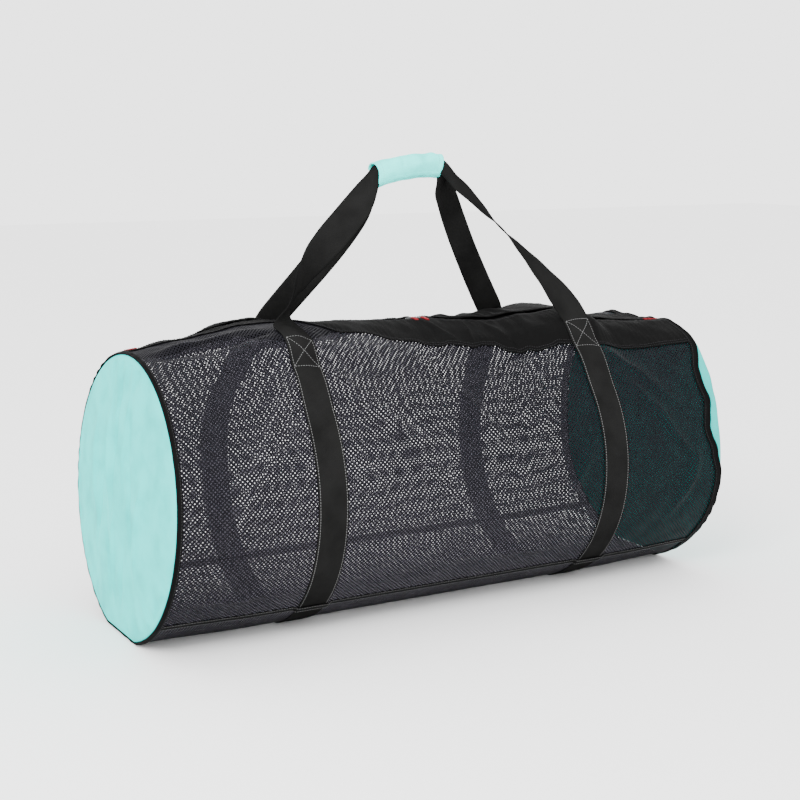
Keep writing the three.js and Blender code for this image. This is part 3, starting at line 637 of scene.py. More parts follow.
# Painted light: the back base binding's inner faces take this pale grey in place of the near-black
# cloth, standing in for light falling in on them.
SEAM_INSIDE_PAINTED_LIGHT = fabric(
    "seam_inside_painted_light", ((0.10, 0.095, 0.11), (0.19, 0.18, 0.21)), (700, 700), 0.0002, 0.0, 0.7
)
RED_CLOTH = fabric(
    "red_cloth", ((0.075, 0.002, 0.004), (0.19, 0.004, 0.008)), (700, 700), 0.0003, 0.05
)
GREY_THREAD = speckled("grey_thread", (0.085, 0.15), 400, 0.6, 0.08)
DARK_THREAD = speckled(
    "dark_thread", ((0.012, 0.012, 0.0125), (0.028, 0.028, 0.030)), 400, 0.6, 0.08
)
PALE_THREAD = speckled("pale_thread", ((0.10, 0.42, 0.40), (0.22, 0.60, 0.57)), 400, 0.6, 0.08)
ZIP_PLASTIC = speckled("zip_plastic", (0.002, 0.006), 300, 0.35, 0.12)
SLIDER_METAL = speckled(
    "slider_metal", ((0.006, 0.006, 0.0065), (0.014, 0.014, 0.015)), 500, 0.3, 0.2
)
SLIDER_METAL.node_tree.nodes["Principled BSDF"].inputs["Metallic"].default_value = 0.3


def stands_for(node):
    """The piece replaces a CAD node, which is hidden."""
    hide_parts(node)


def strip(name, share, angle, height, across, wall, material):
    """Cloth laid over the bag at a grid of places, with its UV along and across."""
    uv = np.stack([share * HALF_LENGTH, across], -1)
    return cloth(name, over(share, angle, height), outward(share, angle), wall, material, uv)


def net(name, step, turn, row_start, row_end, keep, wide, material):
    """Net cords on a lattice, on the skew where turn is 0 and square to the bag at 45. Each
    crossing has a raised middle and four corners on a circle of the cord's half diagonal,
    and two roofed cords run on from it to its next neighbours."""
    skew = turn == 0
    columns = np.linspace(-NET_SHARE, NET_SHARE, int(2 * NET_SHARE * HALF_LENGTH / step))
    down = np.copysign(degrees_of(step), row_end - row_start)
    rows = np.sort(np.arange(row_start, row_end, down))
    i, j = np.meshgrid(np.arange(len(columns)), np.arange(len(rows)), indexing="ij")
    share, angle = columns[i], rows[j]
    place, normal = skin(share, angle), outward(share, angle)
    across_x = unit(np.gradient(place, axis=0))
    across_s = unit(np.gradient(place, axis=1))
    shown = keep(share, angle)
    if skew:
        shown = shown & ((i + j) % 2 == 0)
    number = np.full(shown.shape, -1)
    number[shown] = np.arange(shown.sum())
    points = [place[shown] + normal[shown] * STRAND_RISE]
    for quarter in range(4):
        way = np.radians(quarter * 90 - turn)
        out = across_x[shown] * np.cos(way) + across_s[shown] * np.sin(way)
        points.append(place[shown] + out * wide / np.sqrt(2))
    points = np.stack(points, 1).reshape(-1, 3)
    uv = np.stack([share[shown] * HALF_LENGTH, np.radians(angle[shown]) * BODY_RADIUS], -1)
    if skew:
        pairs = [(number[:-1, :-1], number[1:, 1:]), (number[:-1, 1:], number[1:, :-1])]
    else:
        pairs = [(number[:-1], number[1:]), (number[:, 1:], number[:, :-1])]
    faces = []
    for (here, there), mine, theirs in zip(pairs, ((1, 2), (4, 1)), ((4, 3), (3, 2))):
        both = (here >= 0) & (there >= 0)
        a, b = here[both] * 5, there[both] * 5
        faces.append(np.stack([a, a + mine[0], b + theirs[0], b], -1))
        faces.append(np.stack([a, b, b + theirs[1], a + mine[1]], -1))
    faces = np.concatenate(faces)
    first, second, third = (points[faces[:, k]] for k in range(3))
    up = np.cross(second - first, third - first)
    inward = (up * normal[shown][faces[:, 0] // 5]).sum(1) < 0
    faces[inward] = faces[inward][:, ::-1]
    return make_mesh(name, points, [faces], material, np.repeat(uv, 5, 0))


def wall_net(name, side):
    """One wall's net, from under the placket to the base seam. The back is cut square to the
    bag and the front on the skew."""

    def keep(share, angle):
        overlap = mix(0.06, 0.78, smooth_step(share, -0.02, 0.06)) if side > 0 else 0.78
        return side * angle > side * strip_angle(share, overlap, side)

    step, turn = (NET_PITCH / np.sqrt(2), 0) if side > 0 else (NET_PITCH, 45)
    piece = net(name, step, turn, side * -12, side * SEAM_ANGLE, keep, STRAND_WIDTH[name], NET_CORD)
    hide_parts("mesh_front" if side > 0 else "mesh_back")
    return piece


net_front = wall_net("net_front", 1)
net_back = wall_net("net_back", -1)
net_base = net(
    "net_base", NET_PITCH, 45, SEAM_ANGLE, 360 - SEAM_ANGLE, lambda share, angle: angle > 0,
    STRAND_WIDTH["net_base"], NET_CORD,
)
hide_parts("base_panel")


# End panels: a quarter-round edge from the seam to the rim, then a low creased dome.
# Creases: place across, tilt, half width, height before CREASE_DEPTH, place up, half length.
CAP_WALL = 0.0012
CREASE_DEPTH = 2.5
GATHER_HEIGHT = 0.0020
CREASES = [
    (0.012, 0.06, 0.0035, -0.0022, 0.08, 0.075),
    (0.026, -0.05, 0.0060, 0.0024, 0.06, 0.060),
    (-0.020, 0.10, 0.0045, 0.0020, 0.09, 0.050),
    (-0.052, -0.12, 0.0050, -0.0022, 0.02, 0.070),
    (0.060, 0.16, 0.0050, -0.0020, -0.01, 0.060),
    (0.084, -0.10, 0.0060, 0.0022, 0.03, 0.050),
    (-0.086, 0.14, 0.0065, 0.0022, -0.03, 0.055),
    (0.002, 0.08, 0.0055, 0.0020, -0.09, 0.060),
    (0.040, -0.14, 0.0050, -0.0018, -0.10, 0.045),
    (-0.044, 0.20, 0.0055, -0.0018, -0.11, 0.045),
]


def crease_at(angle, share):
    """Uneven dome: gathers that grow with the ninth power towards the rim, a broad swell and
    a few gaussian creases across."""
    turn = np.radians(angle)
    y = share * np.sin(turn) * -BODY_RADIUS
    z = share * np.cos(turn) * BODY_RADIUS
    gathers = np.sin(turn * 31 + 1.9 * np.sin(turn * 5)) * (0.6 + 0.4 * np.sin(turn * 3 + 1))
    gathers = gathers * share ** 9 * GATHER_HEIGHT
    broad = 0.0016 * np.sin(y * 60 + z * 35) * np.sin(z * 48 - y * 20)
    for at, tilt, wide, tall, middle, long in CREASES:
        off = (y - at + tilt * z) / wide
        broad = broad + CREASE_DEPTH * tall * np.exp(-(off ** 2) - (((z - middle) / long) ** 2))
    return gathers + broad * (1 - share ** 6)


def end_cap(word, side):
    """Rings of the quarter-round edge, then of the dome, with the same rings a wall's
    thickness inside and a point at each of the two middles."""
    count = 256
    angle = np.linspace(-180, 180, count, endpoint=False)
    ends = np.full(count, float(side))
    rim = skin(ends, angle)
    inset = seam_inset(ends, angle) - 2 * CLEARANCE
    spoke = np.stack([np.zeros(count), rim[:, 1], rim[:, 2] - AXIS_HEIGHT], -1)
    flat = np.linalg.norm(spoke, axis=1) + turn_in(inset)
    lean = LEFT_LEAN if side < 0 else RIGHT_LEAN

    def ring(radius, bulge):
        """Points at a radius along each spoke, pushed out of the leaning end plane."""
        point = unit(spoke) * radius[:, None] + [0, 0, AXIS_HEIGHT]
        point[:, 0] = side * (HALF_LENGTH - lean * (point[:, 2] - AXIS_HEIGHT) + bulge)
        return point

    rows = [ring(flat - turn_in(inset * t), -inset * t) for t in np.linspace(1, 0, 9)]
    for share in np.linspace(0.99, 0.015, 44):
        dome = CAP_DOME * 0.9 * (1 - share ** 2)
        rows.append(ring((flat - RIM_ROUND) * share, dome + crease_at(angle, share)))
    outer = np.stack(rows)
    wrapped = np.concatenate([outer[:, -1:], outer, outer[:, :1]], 1)
    normal = grid_normals(wrapped)[:, 1:-1]
    normal *= np.sign((normal[-1] * [side, 0, 0]).sum())
    inner = (outer - normal * CAP_WALL)[::-1]
    points = np.concatenate([outer, inner]).reshape(-1, 3)
    number, last = len(points), len(rows) - 1
    quads = grid_quads(2 * len(rows), count, wrap_rows=True, wrap_columns=True)
    quads = quads[quads[:, 0] // count != last]
    k = np.arange(count)
    after = (k + 1) % count
    out, into = last * count, (last + 1) * count
    fans = [np.stack([out + k, out + after, np.full(count, number)], -1)]
    fans.append(np.stack([into + after, into + k, np.full(count, number + 1)], -1))
    points = np.concatenate([points, [outer[-1].mean(0), inner[0].mean(0)]])
    faces = facing_out(points, [quads, np.concatenate(fans)])
    piece = make_mesh(f"end_cap_{word}_cloth", points, faces, CAP_CLOTH[word], points[:, 1:])
    piece.data.materials.append(CAP_INSIDE_DARKER)
    inside = np.concatenate([quads[:, 0] // count > last, k < 0, k >= 0])
    piece.data.polygons.foreach_set("material_index", inside.astype(np.int32))
    stands_for(f"end_cap_{word}")
    return piece


def ring_path(side, share, height, count=560, ripple=0.0):
    """A closed line round an end at a share of the length, with an optional small ripple."""
    angle = np.linspace(-180, 180, count, endpoint=False)
    turn = np.radians(angle)
    wave = ripple * np.sin(turn * 47 + 2 * np.sin(turn * 9)) * (0.6 + 0.4 * np.sin(turn * 7))
    shares = np.full(count, side * share)
    return over(shares, angle, height + wave), outward(shares, angle)


def end_trim(word, side):
    """Piping, binding and stitches round one end."""
    path, normal = ring_path(side, 1.0, CLEARANCE + PIPING_RADIUS, ripple=0.0006)
    cord = tube(f"piping_{word}", path, normal, PIPING_RADIUS * 1.05, BLACK_CLOTH)
    stands_for(f"end_piping_{word}")
    wide, count = END_BINDING_WIDTH[word], 9
    shares = np.linspace(0.9995, 0.9995 - wide / HALF_LENGTH, count)
    rings = [ring_path(side, share, 0.0016, ripple=0.0005) for share in shares]
    middle, normal = (np.stack([ring[k] for ring in rings], 1) for k in (0, 1))
    run = np.linspace(0, 2 * np.pi * BODY_RADIUS, len(middle))
    uv = np.stack(np.meshgrid(run, np.linspace(0, wide, count), indexing="ij"), -1)
    band = cloth(f"binding_{word}", middle, normal, 0.0012, BLACK_CLOTH, uv, closed=True)
    stands_for(f"end_binding_{word}")
    line = ring_path(side, shares[6], 0.0024)
    seam = stitches(f"binding_stitches_{word}", [line], DARK_THREAD)
    return [cord, band, seam]


caps = {}
for word, side in (("left", -1), ("right", 1)):
    cap = end_cap(word, side)
    trim = end_trim(word, side)
    caps[word] = [cap, *trim]


# Base seams: a folded binding with a stitch line near each edge, raised over the straps.
OVER_STRAP_RISE = 0.0031


def base_raise(x):
    """Extra height of the base binding where it passes over the straps."""
    return OVER_STRAP_RISE * by_straps(x, HALF_WEBBING, HALF_WEBBING + 0.006)


def laid_line(share, angle, height):
    """A line of points over the bag, with its normals."""
    return over(share, angle, height), outward(share, angle)


def base_binding(word, side):
    """A band centred on the seam. The back one has painted light on its inner side: a pale colour
    where the light falls in.
    """
    share = np.linspace(STRIP_START, STRIP_END, 420)
    s, c = np.meshgrid(share, np.linspace(-1, 1, 9), indexing="ij")
    step = degrees_of(BINDING_WIDTH / 2)
    a = side * (SEAM_ANGLE + c * step)
    height = 0.0010 + base_raise(s * HALF_LENGTH) + 0.0004 * np.sin(s * 240) * np.cos(a * 0.6)
    name = f"base_binding_{word}_cloth"
    band = strip(name, s, a, height, c * BINDING_WIDTH / 2, 0.0013, BLACK_CLOTH)
    # Painted light: the inner faces of the back band take the pale inside colour.
    if side < 0:
        band.data.materials.append(SEAM_INSIDE_PAINTED_LIGHT)
        inner = np.tile(np.arange(18) > 8, len(share) - 1)
        inner = np.append(inner, np.zeros(len(band.data.polygons) - len(inner), bool))
        band.data.polygons.foreach_set("material_index", inner.astype(np.int32))
    stands_for(f"base_binding_{word}")
    rise = 0.0018 + base_raise(share * HALF_LENGTH)
    lines = [laid_line(share, side * (SEAM_ANGLE + c * step), rise) for c in (-0.75, 0.75)]
    thread = GREY_THREAD if side > 0 else DARK_THREAD
    seam = stitches(f"base_stitches_{word}", lines, thread)
    return [band, seam]


base_trim = base_binding("front", 1) + base_binding("back", -1)

# Plackets: cloth strips beside the zip, puckered where the straps pull them together.
# Pinches: place along (m), lean and half width (m).
PINCHES = [(0.020, 0.9, 0.006), (0.062, -0.5, 0.005), (0.105, 0.6, 0.007), (0.150, -0.8, 0.006)]
PINCH_HEIGHT = 0.0030
GATHERS_HEIGHT = 0.0018


def pucker(share, across):
    """Gathers across the strip that grow where the straps pull, and a fine seam ripple."""
    x = share * HALF_LENGTH
    middle = smooth_step(share, -0.35, 0.0) * (1 - smooth_step(share, 0.44, 0.62))
    bow = np.sin(np.pi * np.clip(across, 0, 1))
    deep = np.sin(x * 190 + 2.2 * np.sin(x * 47) + across * 1.4) * bow ** 0.5
    fine = np.sin(x * 620 + 3 * np.sin(x * 90)) * (0.3 + 0.7 * np.abs(across - 0.5) * 2)
    pinch = 0
    for at, lean, wide in PINCHES:
        pinch = pinch + np.exp(-(((x - at - lean * 0.03 * (across - 0.5)) / wide) ** 2))
    pinch = pinch * smooth_step(share, -0.35, -0.2) * bow ** 0.7
    gathered = GATHERS_HEIGHT * (0.5 + 0.5 * deep) + PINCH_HEIGHT * pinch
    return gathered * middle + 0.00025 * (1 + fine)


def placket(word, side):
    """A puckered strip from the zip to its uneven edge, with three lines of stitches."""
    share = np.linspace(STRIP_START, STRIP_END, 560)
    s, c = np.meshgrid(share, np.linspace(0, 1, 17), indexing="ij")
    lift = CLEARANCE + STRAND_RISE + 0.0006
    band = strip(
        f"placket_{word}", s, strip_angle(s, c, side), lift + pucker(s, c),
        c * strip_width(s, side), 0.0011, BLACK_CLOTH,
    )
    stands_for(f"zip_placket_{word}")
    lines = []
    for place in (0.08, 0.92, 0.97):
        rise = lift + 0.0008 + pucker(share, place)
        lines.append(laid_line(share, strip_angle(share, place, side), rise))
    seam = stitches(f"placket_stitches_{word}", lines, DARK_THREAD)
    return [band, seam]


zip_pieces = placket("front", 1) + placket("back", -1)

# Zip: tape under the slot, two rows of interlocked teeth, sliders, pulls and end tabs.
TOOTH = (0.0042, 0.0013, 0.0019)
TOOTH_PITCH = 0.0020
SLIDERS_AT = 0.03


def zip_angle(share, sideways):
    """Angle of a place beside the zip's line, sideways in metres."""
    return read(ZIP_LINE, "share", share, "angle") + degrees_of(sideways)


def zip_parts():
    """Tape bowed up to the strips at its edges, and rows of teeth half a pitch apart."""
    share = np.linspace(STRIP_START, STRIP_END, 420)
    s, w = np.meshgrid(share, np.linspace(-TAPE_WIDTH / 2, TAPE_WIDTH / 2, 9), indexing="ij")
    bow = 1.15 * smooth_step(np.abs(w), SLOT_WIDTH / 2, TAPE_WIDTH / 2)
    depth = -TAPE_DEPTH * (1 - bow)
    tape = strip("zip_tape_cloth", s, zip_angle(s, w), depth, w, 0.001, BLACK_CLOTH)
    stands_for("zip_tape")
    count = int(1.94 * HALF_LENGTH / TOOTH_PITCH)
    rows = []
    for row, shift in ((-1, 0.0), (1, 0.5)):
        at = np.linspace(-0.972, 0.968, count) + shift * TOOTH_PITCH / HALF_LENGTH
        place, up = laid_line(at, zip_angle(at, row * 0.0011), np.full(count, -0.0018))
        rows.append((place, unit(np.cross(up, unit(np.gradient(place, axis=0)))), up))
    places, ways, ups = (np.concatenate([row[k] for row in rows]) for k in range(3))
    teeth = grains("zip_teeth", places, ways, ups, TOOTH, ZIP_PLASTIC)
    stands_for("zip_coil")
    return [tape, teeth]


zip_pieces += zip_parts()


def zip_patch(name, start, length, width, height, swell, material, offset=0.0):
    """A small closed pad on the zip's line: a superellipse plan, rounded in section, from a
    place along the bag (m) and, with offset, turned to lie across towards the front."""
    u, v = np.meshgrid(np.linspace(-1, 1, 21), np.linspace(-1, 1, 13), indexing="ij")
    narrow = (1 - np.abs(u) ** 5) ** 0.5
    side = v * narrow * width / 2
    if offset:
        share = SLIDERS_AT + (start + side) / HALF_LENGTH
        angle = zip_angle(share, offset + (u + 1) / 2 * length)
    else:
        share = SLIDERS_AT + (start + u * length / 2) / HALF_LENGTH
        angle = zip_angle(share, side)
    middle, normal = laid_line(share, angle, height + swell * (1 - v ** 4) * narrow / 2)
    uv = np.stack([u * length / 2, v * width / 2], -1)
    return cloth(name, middle, normal, 0.0012 + swell, material, uv, edge=0.35)


for word, direction in (("left", -1), ("right", 1)):
    slider = zip_patch(
        f"slider_{word}", start=direction * 0.0079, length=0.0145, width=0.0098,
        height=0.0012, swell=0.0016, material=SLIDER_METAL,
    )
    stands_for(f"zip_slider_{word}")
    pull = zip_patch(
        f"pull_{word}", start=direction * 0.0075, length=0.017, width=0.0062,
        height=0.0036, swell=0.0004, material=RED_CLOTH, offset=0.003,
    )
    stands_for(f"zip_pull_{word}")
    zip_pieces += [slider, pull]


def end_tab(word, side):
    """A square of cloth over the zip's end, with a slight wave."""
    start = 1 - 0.0108 / HALF_LENGTH
    share = side * np.linspace(start, start - 0.014 / HALF_LENGTH, 15)
    s, w = np.meshgrid(share, np.linspace(-1, 1, 13), indexing="ij")
    across = w * SLOT_WIDTH * 0.8
    height = 0.0027 + 0.0006 * np.sin(w * 6 + s * 900)
    name = f"end_tab_{word}"
    tab = strip(name, s, zip_angle(s, across), height, across, 0.0014, RED_CLOTH)
    stands_for(f"zip_end_tab_{word}")
    return tab


zip_pieces += [end_tab("left", -1), end_tab("right", 1)]


# Handles. The grip's middle line and the two directions across it.
GRIP_WIDE = np.array([0, -np.sin(GRIP_TILT), -np.cos(GRIP_TILT)])
GRIP_FACE = np.array([0, -np.cos(GRIP_TILT), np.sin(GRIP_TILT)])


def grip_middle(along):
    """The grip's middle line: an arch, a parabola of the place along, on a slight rise."""
    along = np.asarray(along, float)
    z = GRIP_HEIGHT + GRIP_ARCH * (4 * along * (1 - along) - 0.5) + GRIP_RISE * (2 * along - 1)
    return np.stack([(along - 0.5) * GRIP_LENGTH, 0 * along, z], -1)


ACROSS = np.linspace(-1, 1, 13)


def strap_on_bag(leg, row, s, height):
    """Strap points on the wall at rows and places across, drifting near the top."""
    side = 1 if leg.startswith("front") else -1
    at = LEFT_STRAP if leg.endswith("Left") else RIGHT_STRAP
    middle = row_angle(np.full(np.shape(row), at / HALF_LENGTH), row, side)
    drift = read(STRAP_DRIFT, "angle", np.abs(middle), leg) * WEBBING_WIDTH
    share = (at + drift + s * HALF_WEBBING) / HALF_LENGTH
    on_placket = 0.0013 * (1 - smooth_step(row, PLACKET_ROWS, PLACKET_ROWS + 1))
    loose = 0.0016 * (1 - smooth_step(row, PLACKET_ROWS, PLACKET_ROWS + 2))
    angle = row_angle(share, row, side)
    return over(share, angle, 0.0008 + on_placket + loose + height)


def bezier(a, b, c, d, t):
    """The cubic curve from a to d that b and c draw towards them."""
    t = t[:, None]
    return (1 - t) ** 3 * a + 3 * t * (1 - t) ** 2 * b + 3 * t ** 2 * (1 - t) * c + t ** 3 * d


def hump(cup, s):
    """Height of the cupped webbing: a parabola across it, highest at its middle."""
    return np.sin(np.radians(cup)) * HALF_WEBBING * (0.5 - s * s)


def leg_rows(leg, count=64):
    """Free leg: a bowed line from its root to the grip's mouth, twisted by the table and
    settling into the grip's own directions."""
    inward = 1 if leg.endswith("Left") else -1
    layer = 1 if leg.startswith("front") else -1
    root = strap_on_bag(leg, np.array([ROOT_ROW[leg]]), 0.0, WEBBING_WALL / 2)[0]
    mouth = grip_middle(0 if inward > 0 else 1) + GRIP_FACE * layer * MOUTH_SPACING
    run = mouth - root
    length = np.linalg.norm(run)
    outside = unit(np.array([-inward * run[2], 0, inward * run[0]]))
    low, high = LEG_BOW[leg]
    third = mix(root, mouth, 1 / 3) + outside * low * length
    two_thirds = mix(root, mouth, 2 / 3) + outside * high * length
    along = np.linspace(0, 1, count + 2)[1:-1]
    point = bezier(root, third, two_thirds, mouth, along)
    way = unit(np.gradient(point, axis=0))
    flat = unit(np.stack([way[:, 2], 0 * along, -way[:, 0]], -1))
    deep = np.cross(way, flat)
    turn = np.radians(read(LEG_TWIST, "along", along, leg))[:, None]
    wide = (flat * np.cos(turn) + deep * np.sin(turn)) * inward
    wide = unit(mix(wide, GRIP_WIDE, smooth_step(along, SETTLES_AT[leg], 1)[:, None]))
    face = unit(np.cross(wide, way)) * inward
    cup = read(GRIP_CUP, "along", 0 if inward > 0 else 1, "cup") * smooth_step(along, 0.8, 1)
    s = ACROSS[None, :]
    cup = cup[:, None]
    narrow = mix(1, GRIP_NARROWING, smooth_step(along, 0.84, 1))[:, None]
    spread = s * HALF_WEBBING * np.cos(np.radians(cup)) * narrow
    return point[:, None] + wide[:, None] * spread[..., None] + face[:, None] * hump(cup, s)[..., None]


def grip_rows(layer, count=26):
    """Rows of the strap in the grip, cupped and apart at the mouths, nested at the middle."""
    along = np.linspace(0, 1, count)
    cup = read(GRIP_CUP, "along", along, "cup")
    nested = (WEBBING_WALL + CLEARANCE) / np.cos(np.radians(cup)) / 2
    spacing = mix(nested, MOUTH_SPACING, (2 * along - 1) ** 4)
    middle = grip_middle(along) + GRIP_FACE * (layer * spacing)[:, None]
    s, cup = ACROSS[None, :], cup[:, None]
    spread = s * HALF_WEBBING * np.cos(np.radians(cup)) * GRIP_NARROWING
    return middle[:, None] + GRIP_WIDE * spread[..., None] + GRIP_FACE * hump(cup, s)[..., None]


def wall_rows(leg, count=110):
    """Rows of the strap on the bag's wall, from the base seam to its root."""
    inward = 1 if leg.endswith("Left") else -1
    row = np.linspace(WALL_ROWS, ROOT_ROW[leg], count)
    rows, s = np.meshgrid(row, ACROSS * inward, indexing="ij")
    return strap_on_bag(leg, rows, s, WEBBING_WALL / 2)


def along_strap(middle, normal, run, places, across):
    """Points and normals on the strap at lengths along it and places across."""
    row = np.interp(places, run, np.arange(len(run)))
    low = np.clip(row.astype(int), 0, len(run) - 2)
    t = (row - low)[:, None]
    column = (np.asarray(across) + 1) / 2 * (len(ACROSS) - 1)
    left = np.clip(np.floor(column).astype(int), 0, len(ACROSS) - 2)
    u = (column - left)[:, None]

    def at(grid):
        a = mix(grid[low, left], grid[low, left + 1], u)
        b = mix(grid[low + 1, left], grid[low + 1, left + 1], u)
        return mix(a, b, t)

    return at(middle), unit(at(normal))


def box_stitches(middle, normal, run, start, end):
    """The sewn box with a cross: four sides and two diagonals between two lengths."""
    edge, n = 0.86, 40
    corners = [(start, -edge), (start, edge), (end, edge), (end, -edge)]
    pairs = [(0, 1), (1, 2), (2, 3), (3, 0), (0, 2), (1, 3)]
    lines = []
    for a, b in pairs:
        places = np.linspace(corners[a][0], corners[b][0], n)
        across = np.linspace(corners[a][1], corners[b][1], n)
        point, up = along_strap(middle, normal, run, places, across)
        lines.append((point + up * (WEBBING_WALL / 2 + 0.0001), up))
    return lines


X_BOX = 0.047
BOX_BELOW_ROOT = {"frontLeft": 0.040, "frontRight": 0.0, "backLeft": 0.0, "backRight": 0.004}


def handle_strap(word):
    """One webbing: wall, leg, grip, leg and wall in one grid, with edge and box stitches."""
    layer = 1 if word == "front" else -1
    left_wall, right_wall = wall_rows(f"{word}Left"), wall_rows(f"{word}Right")
    parts = [
        left_wall, leg_rows(f"{word}Left"), grip_rows(layer),
        leg_rows(f"{word}Right")[::-1], right_wall[::-1],
    ]
    middle = smoothed(np.concatenate(parts), 6)
    normal = grid_normals(middle)
    outer = outward(np.array([LEFT_STRAP / HALF_LENGTH]), np.array([layer * 110.0]))[0]
    normal *= np.sign((normal[8, 6] * outer).sum())
    normal = unit(smoothed(normal, 3))
    run = np.concatenate([[0], np.cumsum(np.linalg.norm(np.diff(middle[:, 6], axis=0), axis=1))])
    uv = np.stack(np.broadcast_arrays(run[:, None], ACROSS[None, :] * HALF_WEBBING), -1)
    strap = cloth(f"webbing_{word}", middle, normal, WEBBING_WALL, WEBBING, uv)
    stands_for(f"strap_{word}")
    lines = []
    left_root, right_root = run[len(left_wall) - 1], run[len(middle) - len(right_wall)]
    for start, root, leg in ((0.004, left_root, "Left"), (run[-1] - 0.004, right_root, "Right")):
        down = -1 if leg == "Left" else 1
        root = root + down * BOX_BELOW_ROOT[word + leg]
        inner = root + down * X_BOX
        for edge in (-0.89, 0.89):
            places = np.linspace(start, inner, 160)
            point, up = along_strap(middle, normal, run, places, np.full(160, edge))
            lines.append((point + up * (WEBBING_WALL / 2), up))
        lines += box_stitches(middle, normal, run, inner, root - np.sign(root - inner) * 0.003)
    seam = stitches(f"webbing_stitches_{word}", lines, GREY_THREAD, size=(0.0031, 0.0008, 0.0006))
    return [strap, seam]


handles = handle_strap("front") + handle_strap("back")


def base_strap(word, at):
    """The webbing that runs on under the bag from seam to seam, flat where it rests."""
    angle = np.linspace(SEAM_ANGLE, 360 - SEAM_ANGLE, 120)
    s = ACROSS[None, :]
    share = (at + s * HALF_WEBBING) / HALF_LENGTH + 0 * angle[:, None]
    full = angle[:, None] + 0 * s
    place, normal = skin(share, full), outward(share, full)
    flat = (np.abs(full - 180) < 16)[..., None]
    normal = np.where(flat, np.array([0, 0, -1.0]), normal)
    middle = smoothed(place + normal * (CLEARANCE / 2 + STRAND_RISE + WEBBING_WALL / 2), 2)
    middle[..., 2] = np.maximum(middle[..., 2], WEBBING_WALL / 2)
    run = np.linspace(0, BASE_STRAP_LENGTH, len(angle))
    uv = np.stack(np.broadcast_arrays(run[:, None], s * HALF_WEBBING), -1)
    normal = unit(smoothed(normal, 3))
    strap = cloth(f"base_webbing_{word}", middle, normal, WEBBING_WALL, WEBBING, uv)
    stands_for(f"base_strap_{word}")
    return [strap]


handles += base_strap("left", LEFT_STRAP) + base_strap("right", RIGHT_STRAP)

# The wrap's section: place across the webbing, its side of it (-1 to 1), and how far the
# flap that lies over rises (0 or 1).
WRAP_SECTION = {
    "across": [0.6, 1, 1.12, 1.12, 1, 0.5, 0, -0.5, -1, -1.12, -1.12, -1, -0.5, 0, 0.5, 0.92],
    "side": [-1, -1, -0.3, 0.3, 1, 1, 1, 1, 1, 0.3, -0.3, -1, -1, -1, -1, -1],
    "rise": [0, 0, 0, 0, 0, 0, 0, 0, 0, 0, 0, 0, 0, 0, 1, 1],
}

# Dents and bulges of the wrap: place along, place round, half length, half width, height.
WRAP_DENTS = [
    (0.38, 44, 0.030, 5, -0.0016),
    (0.30, 50, 0.050, 4, 0.0016),
    (0.62, 38, 0.090, 4, 0.0017),
    (0.72, 47, 0.060, 4, -0.0014),
    (0.84, 54, 0.050, 5, 0.0018),
    (0.18, 36, 0.060, 4, 0.0014),
    (0.52, 56, 0.120, 4, 0.0014),
    (0.90, 34, 0.040, 5, -0.0012),
]
WRAP_GIRTH = 0.125


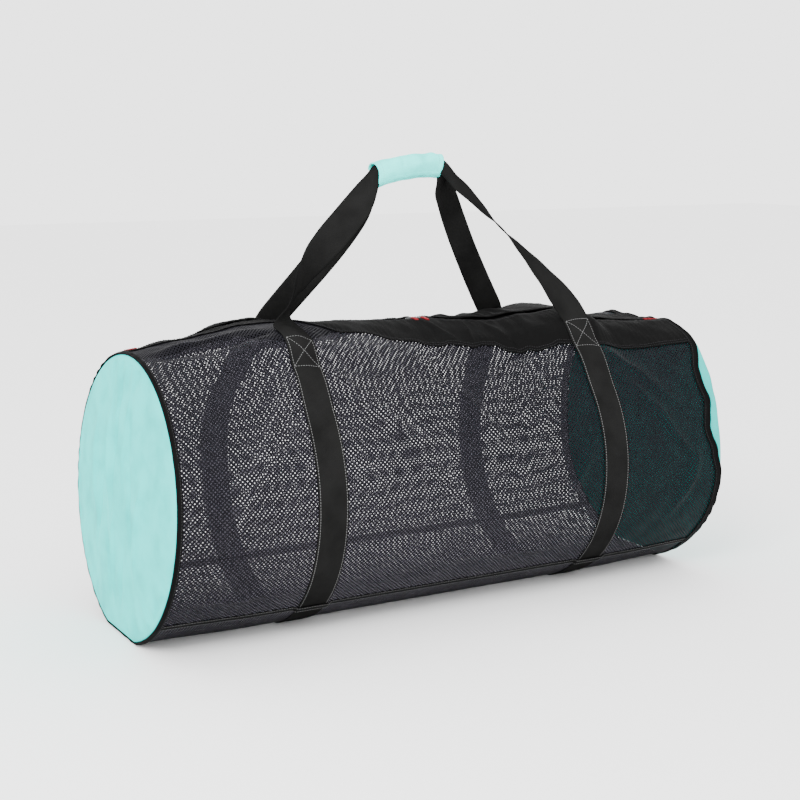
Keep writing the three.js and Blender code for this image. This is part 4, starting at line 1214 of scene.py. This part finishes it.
def handle_wrap():
    """The grip: a section that closes round both straps and overlaps, swept along the grip's
    arch, opened at its mouths, crumpled by waves and dents and pinched at its hems."""
    stations = np.linspace(0, 15, 121)
    section = {k: smoothed(np.interp(stations, np.arange(16), v), 8) for k, v in WRAP_SECTION.items()}
    along = np.linspace(0, 1, 60)
    a, k = np.meshgrid(along, np.arange(121), indexing="ij")
    across, side, rise = (section[c][k] for c in ("across", "side", "rise"))
    cup = read(GRIP_CUP, "along", a, "cup")
    flare = (2 * a - 1) ** 4 * MOUTH_SPACING * 0.4
    height = GRIP_WALL / 2 + rise * (GRIP_WALL + CLEARANCE)
    deep = WEBBING_WALL / np.cos(np.radians(cup)) + CLEARANCE + GRIP_PLAY + flare + height
    sideways = across * HALF_WEBBING * np.cos(np.radians(cup)) * GRIP_NARROWING
    sideways = sideways + np.sign(across) * height
    curl = hump(cup, np.clip(np.abs(across), 0, 1))
    crumple = 0.0008 * np.sin(a * 19 + k * 0.09) * np.sin(k * 0.15 - a * 7)
    for along_at, across_at, long, wide, tall in WRAP_DENTS:
        off = ((a - along_at) / long) ** 2 + ((k - across_at) / wide) ** 2
        crumple = crumple + 1.25 * tall * np.exp(-off)
    hem = 0.0006 * (np.exp(-(((a - 0.045) / 0.018) ** 2)) + np.exp(-(((a - 0.955) / 0.018) ** 2)))
    depth = curl + (deep + np.maximum(crumple, -0.0020) - hem) * side
    middle = grip_middle(a) + GRIP_WIDE * sideways[..., None] + GRIP_FACE * depth[..., None]
    normal = grid_normals(middle)
    normal *= np.sign((normal[30, 60] * GRIP_FACE).sum())
    uv = np.stack([a * GRIP_LENGTH, k / 120 * WRAP_GIRTH], -1)
    wrap = cloth("grip_wrap", middle, normal, GRIP_WALL, GRIP_CLOTH, uv, edge=0.6)
    stands_for("handle_wrap")
    lines = []
    for column in (4, 55):
        up = normal[column, 8:110]
        lines.append((middle[column, 8:110] + up * GRIP_WALL / 2, up))
    size = (0.0026, 0.0006, 0.0005)
    seam = stitches("wrap_stitches", lines, PALE_THREAD, pitch=0.0032, size=size)
    return [wrap, seam]


handles += handle_wrap()

nets = [net_front, net_back, net_base]
for piece in [*nets, *caps["left"], *caps["right"], *base_trim, *zip_pieces, *handles]:
    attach(piece, "root")

# Studio: a pale floor, an even pale surround and one large soft light.
# The floor lies a little lower than the bag, so that the two never share a plane.
FLOOR_DEPTH = 0.0006
floor_points = [[x, y, -FLOOR_DEPTH] for x, y in ((-9, -9), (9, -9), (9, 9), (-9, 9))]
FLOOR = speckled("floor", (0.90, 0.93), 0.5, 0.9, 0.0)
floor = make_mesh("floor", floor_points, [np.array([[0, 1, 2, 3]])], FLOOR)

world = bpy.data.worlds.new("studio")
bpy.context.scene.world = world
world.use_nodes = True
surround = world.node_tree.nodes["Background"]
surround.inputs["Color"].default_value = (1, 1, 1, 1)
surround.inputs["Strength"].default_value = 3.0

light = bpy.data.lights.new("key", "AREA")
light.shape = "SQUARE"
light.size = 1.4
light.energy = 140
LIGHT_PLACE = Vector((-2.2, -1.8, 2.2))
LIGHT_TARGET = Vector((0, 0, 0.25))
key = bpy.data.objects.new("key", light)
key.location = LIGHT_PLACE
key.rotation_euler = (LIGHT_TARGET - LIGHT_PLACE).to_track_quat("-Z", "Y").to_euler()
bpy.context.scene.collection.objects.link(key)
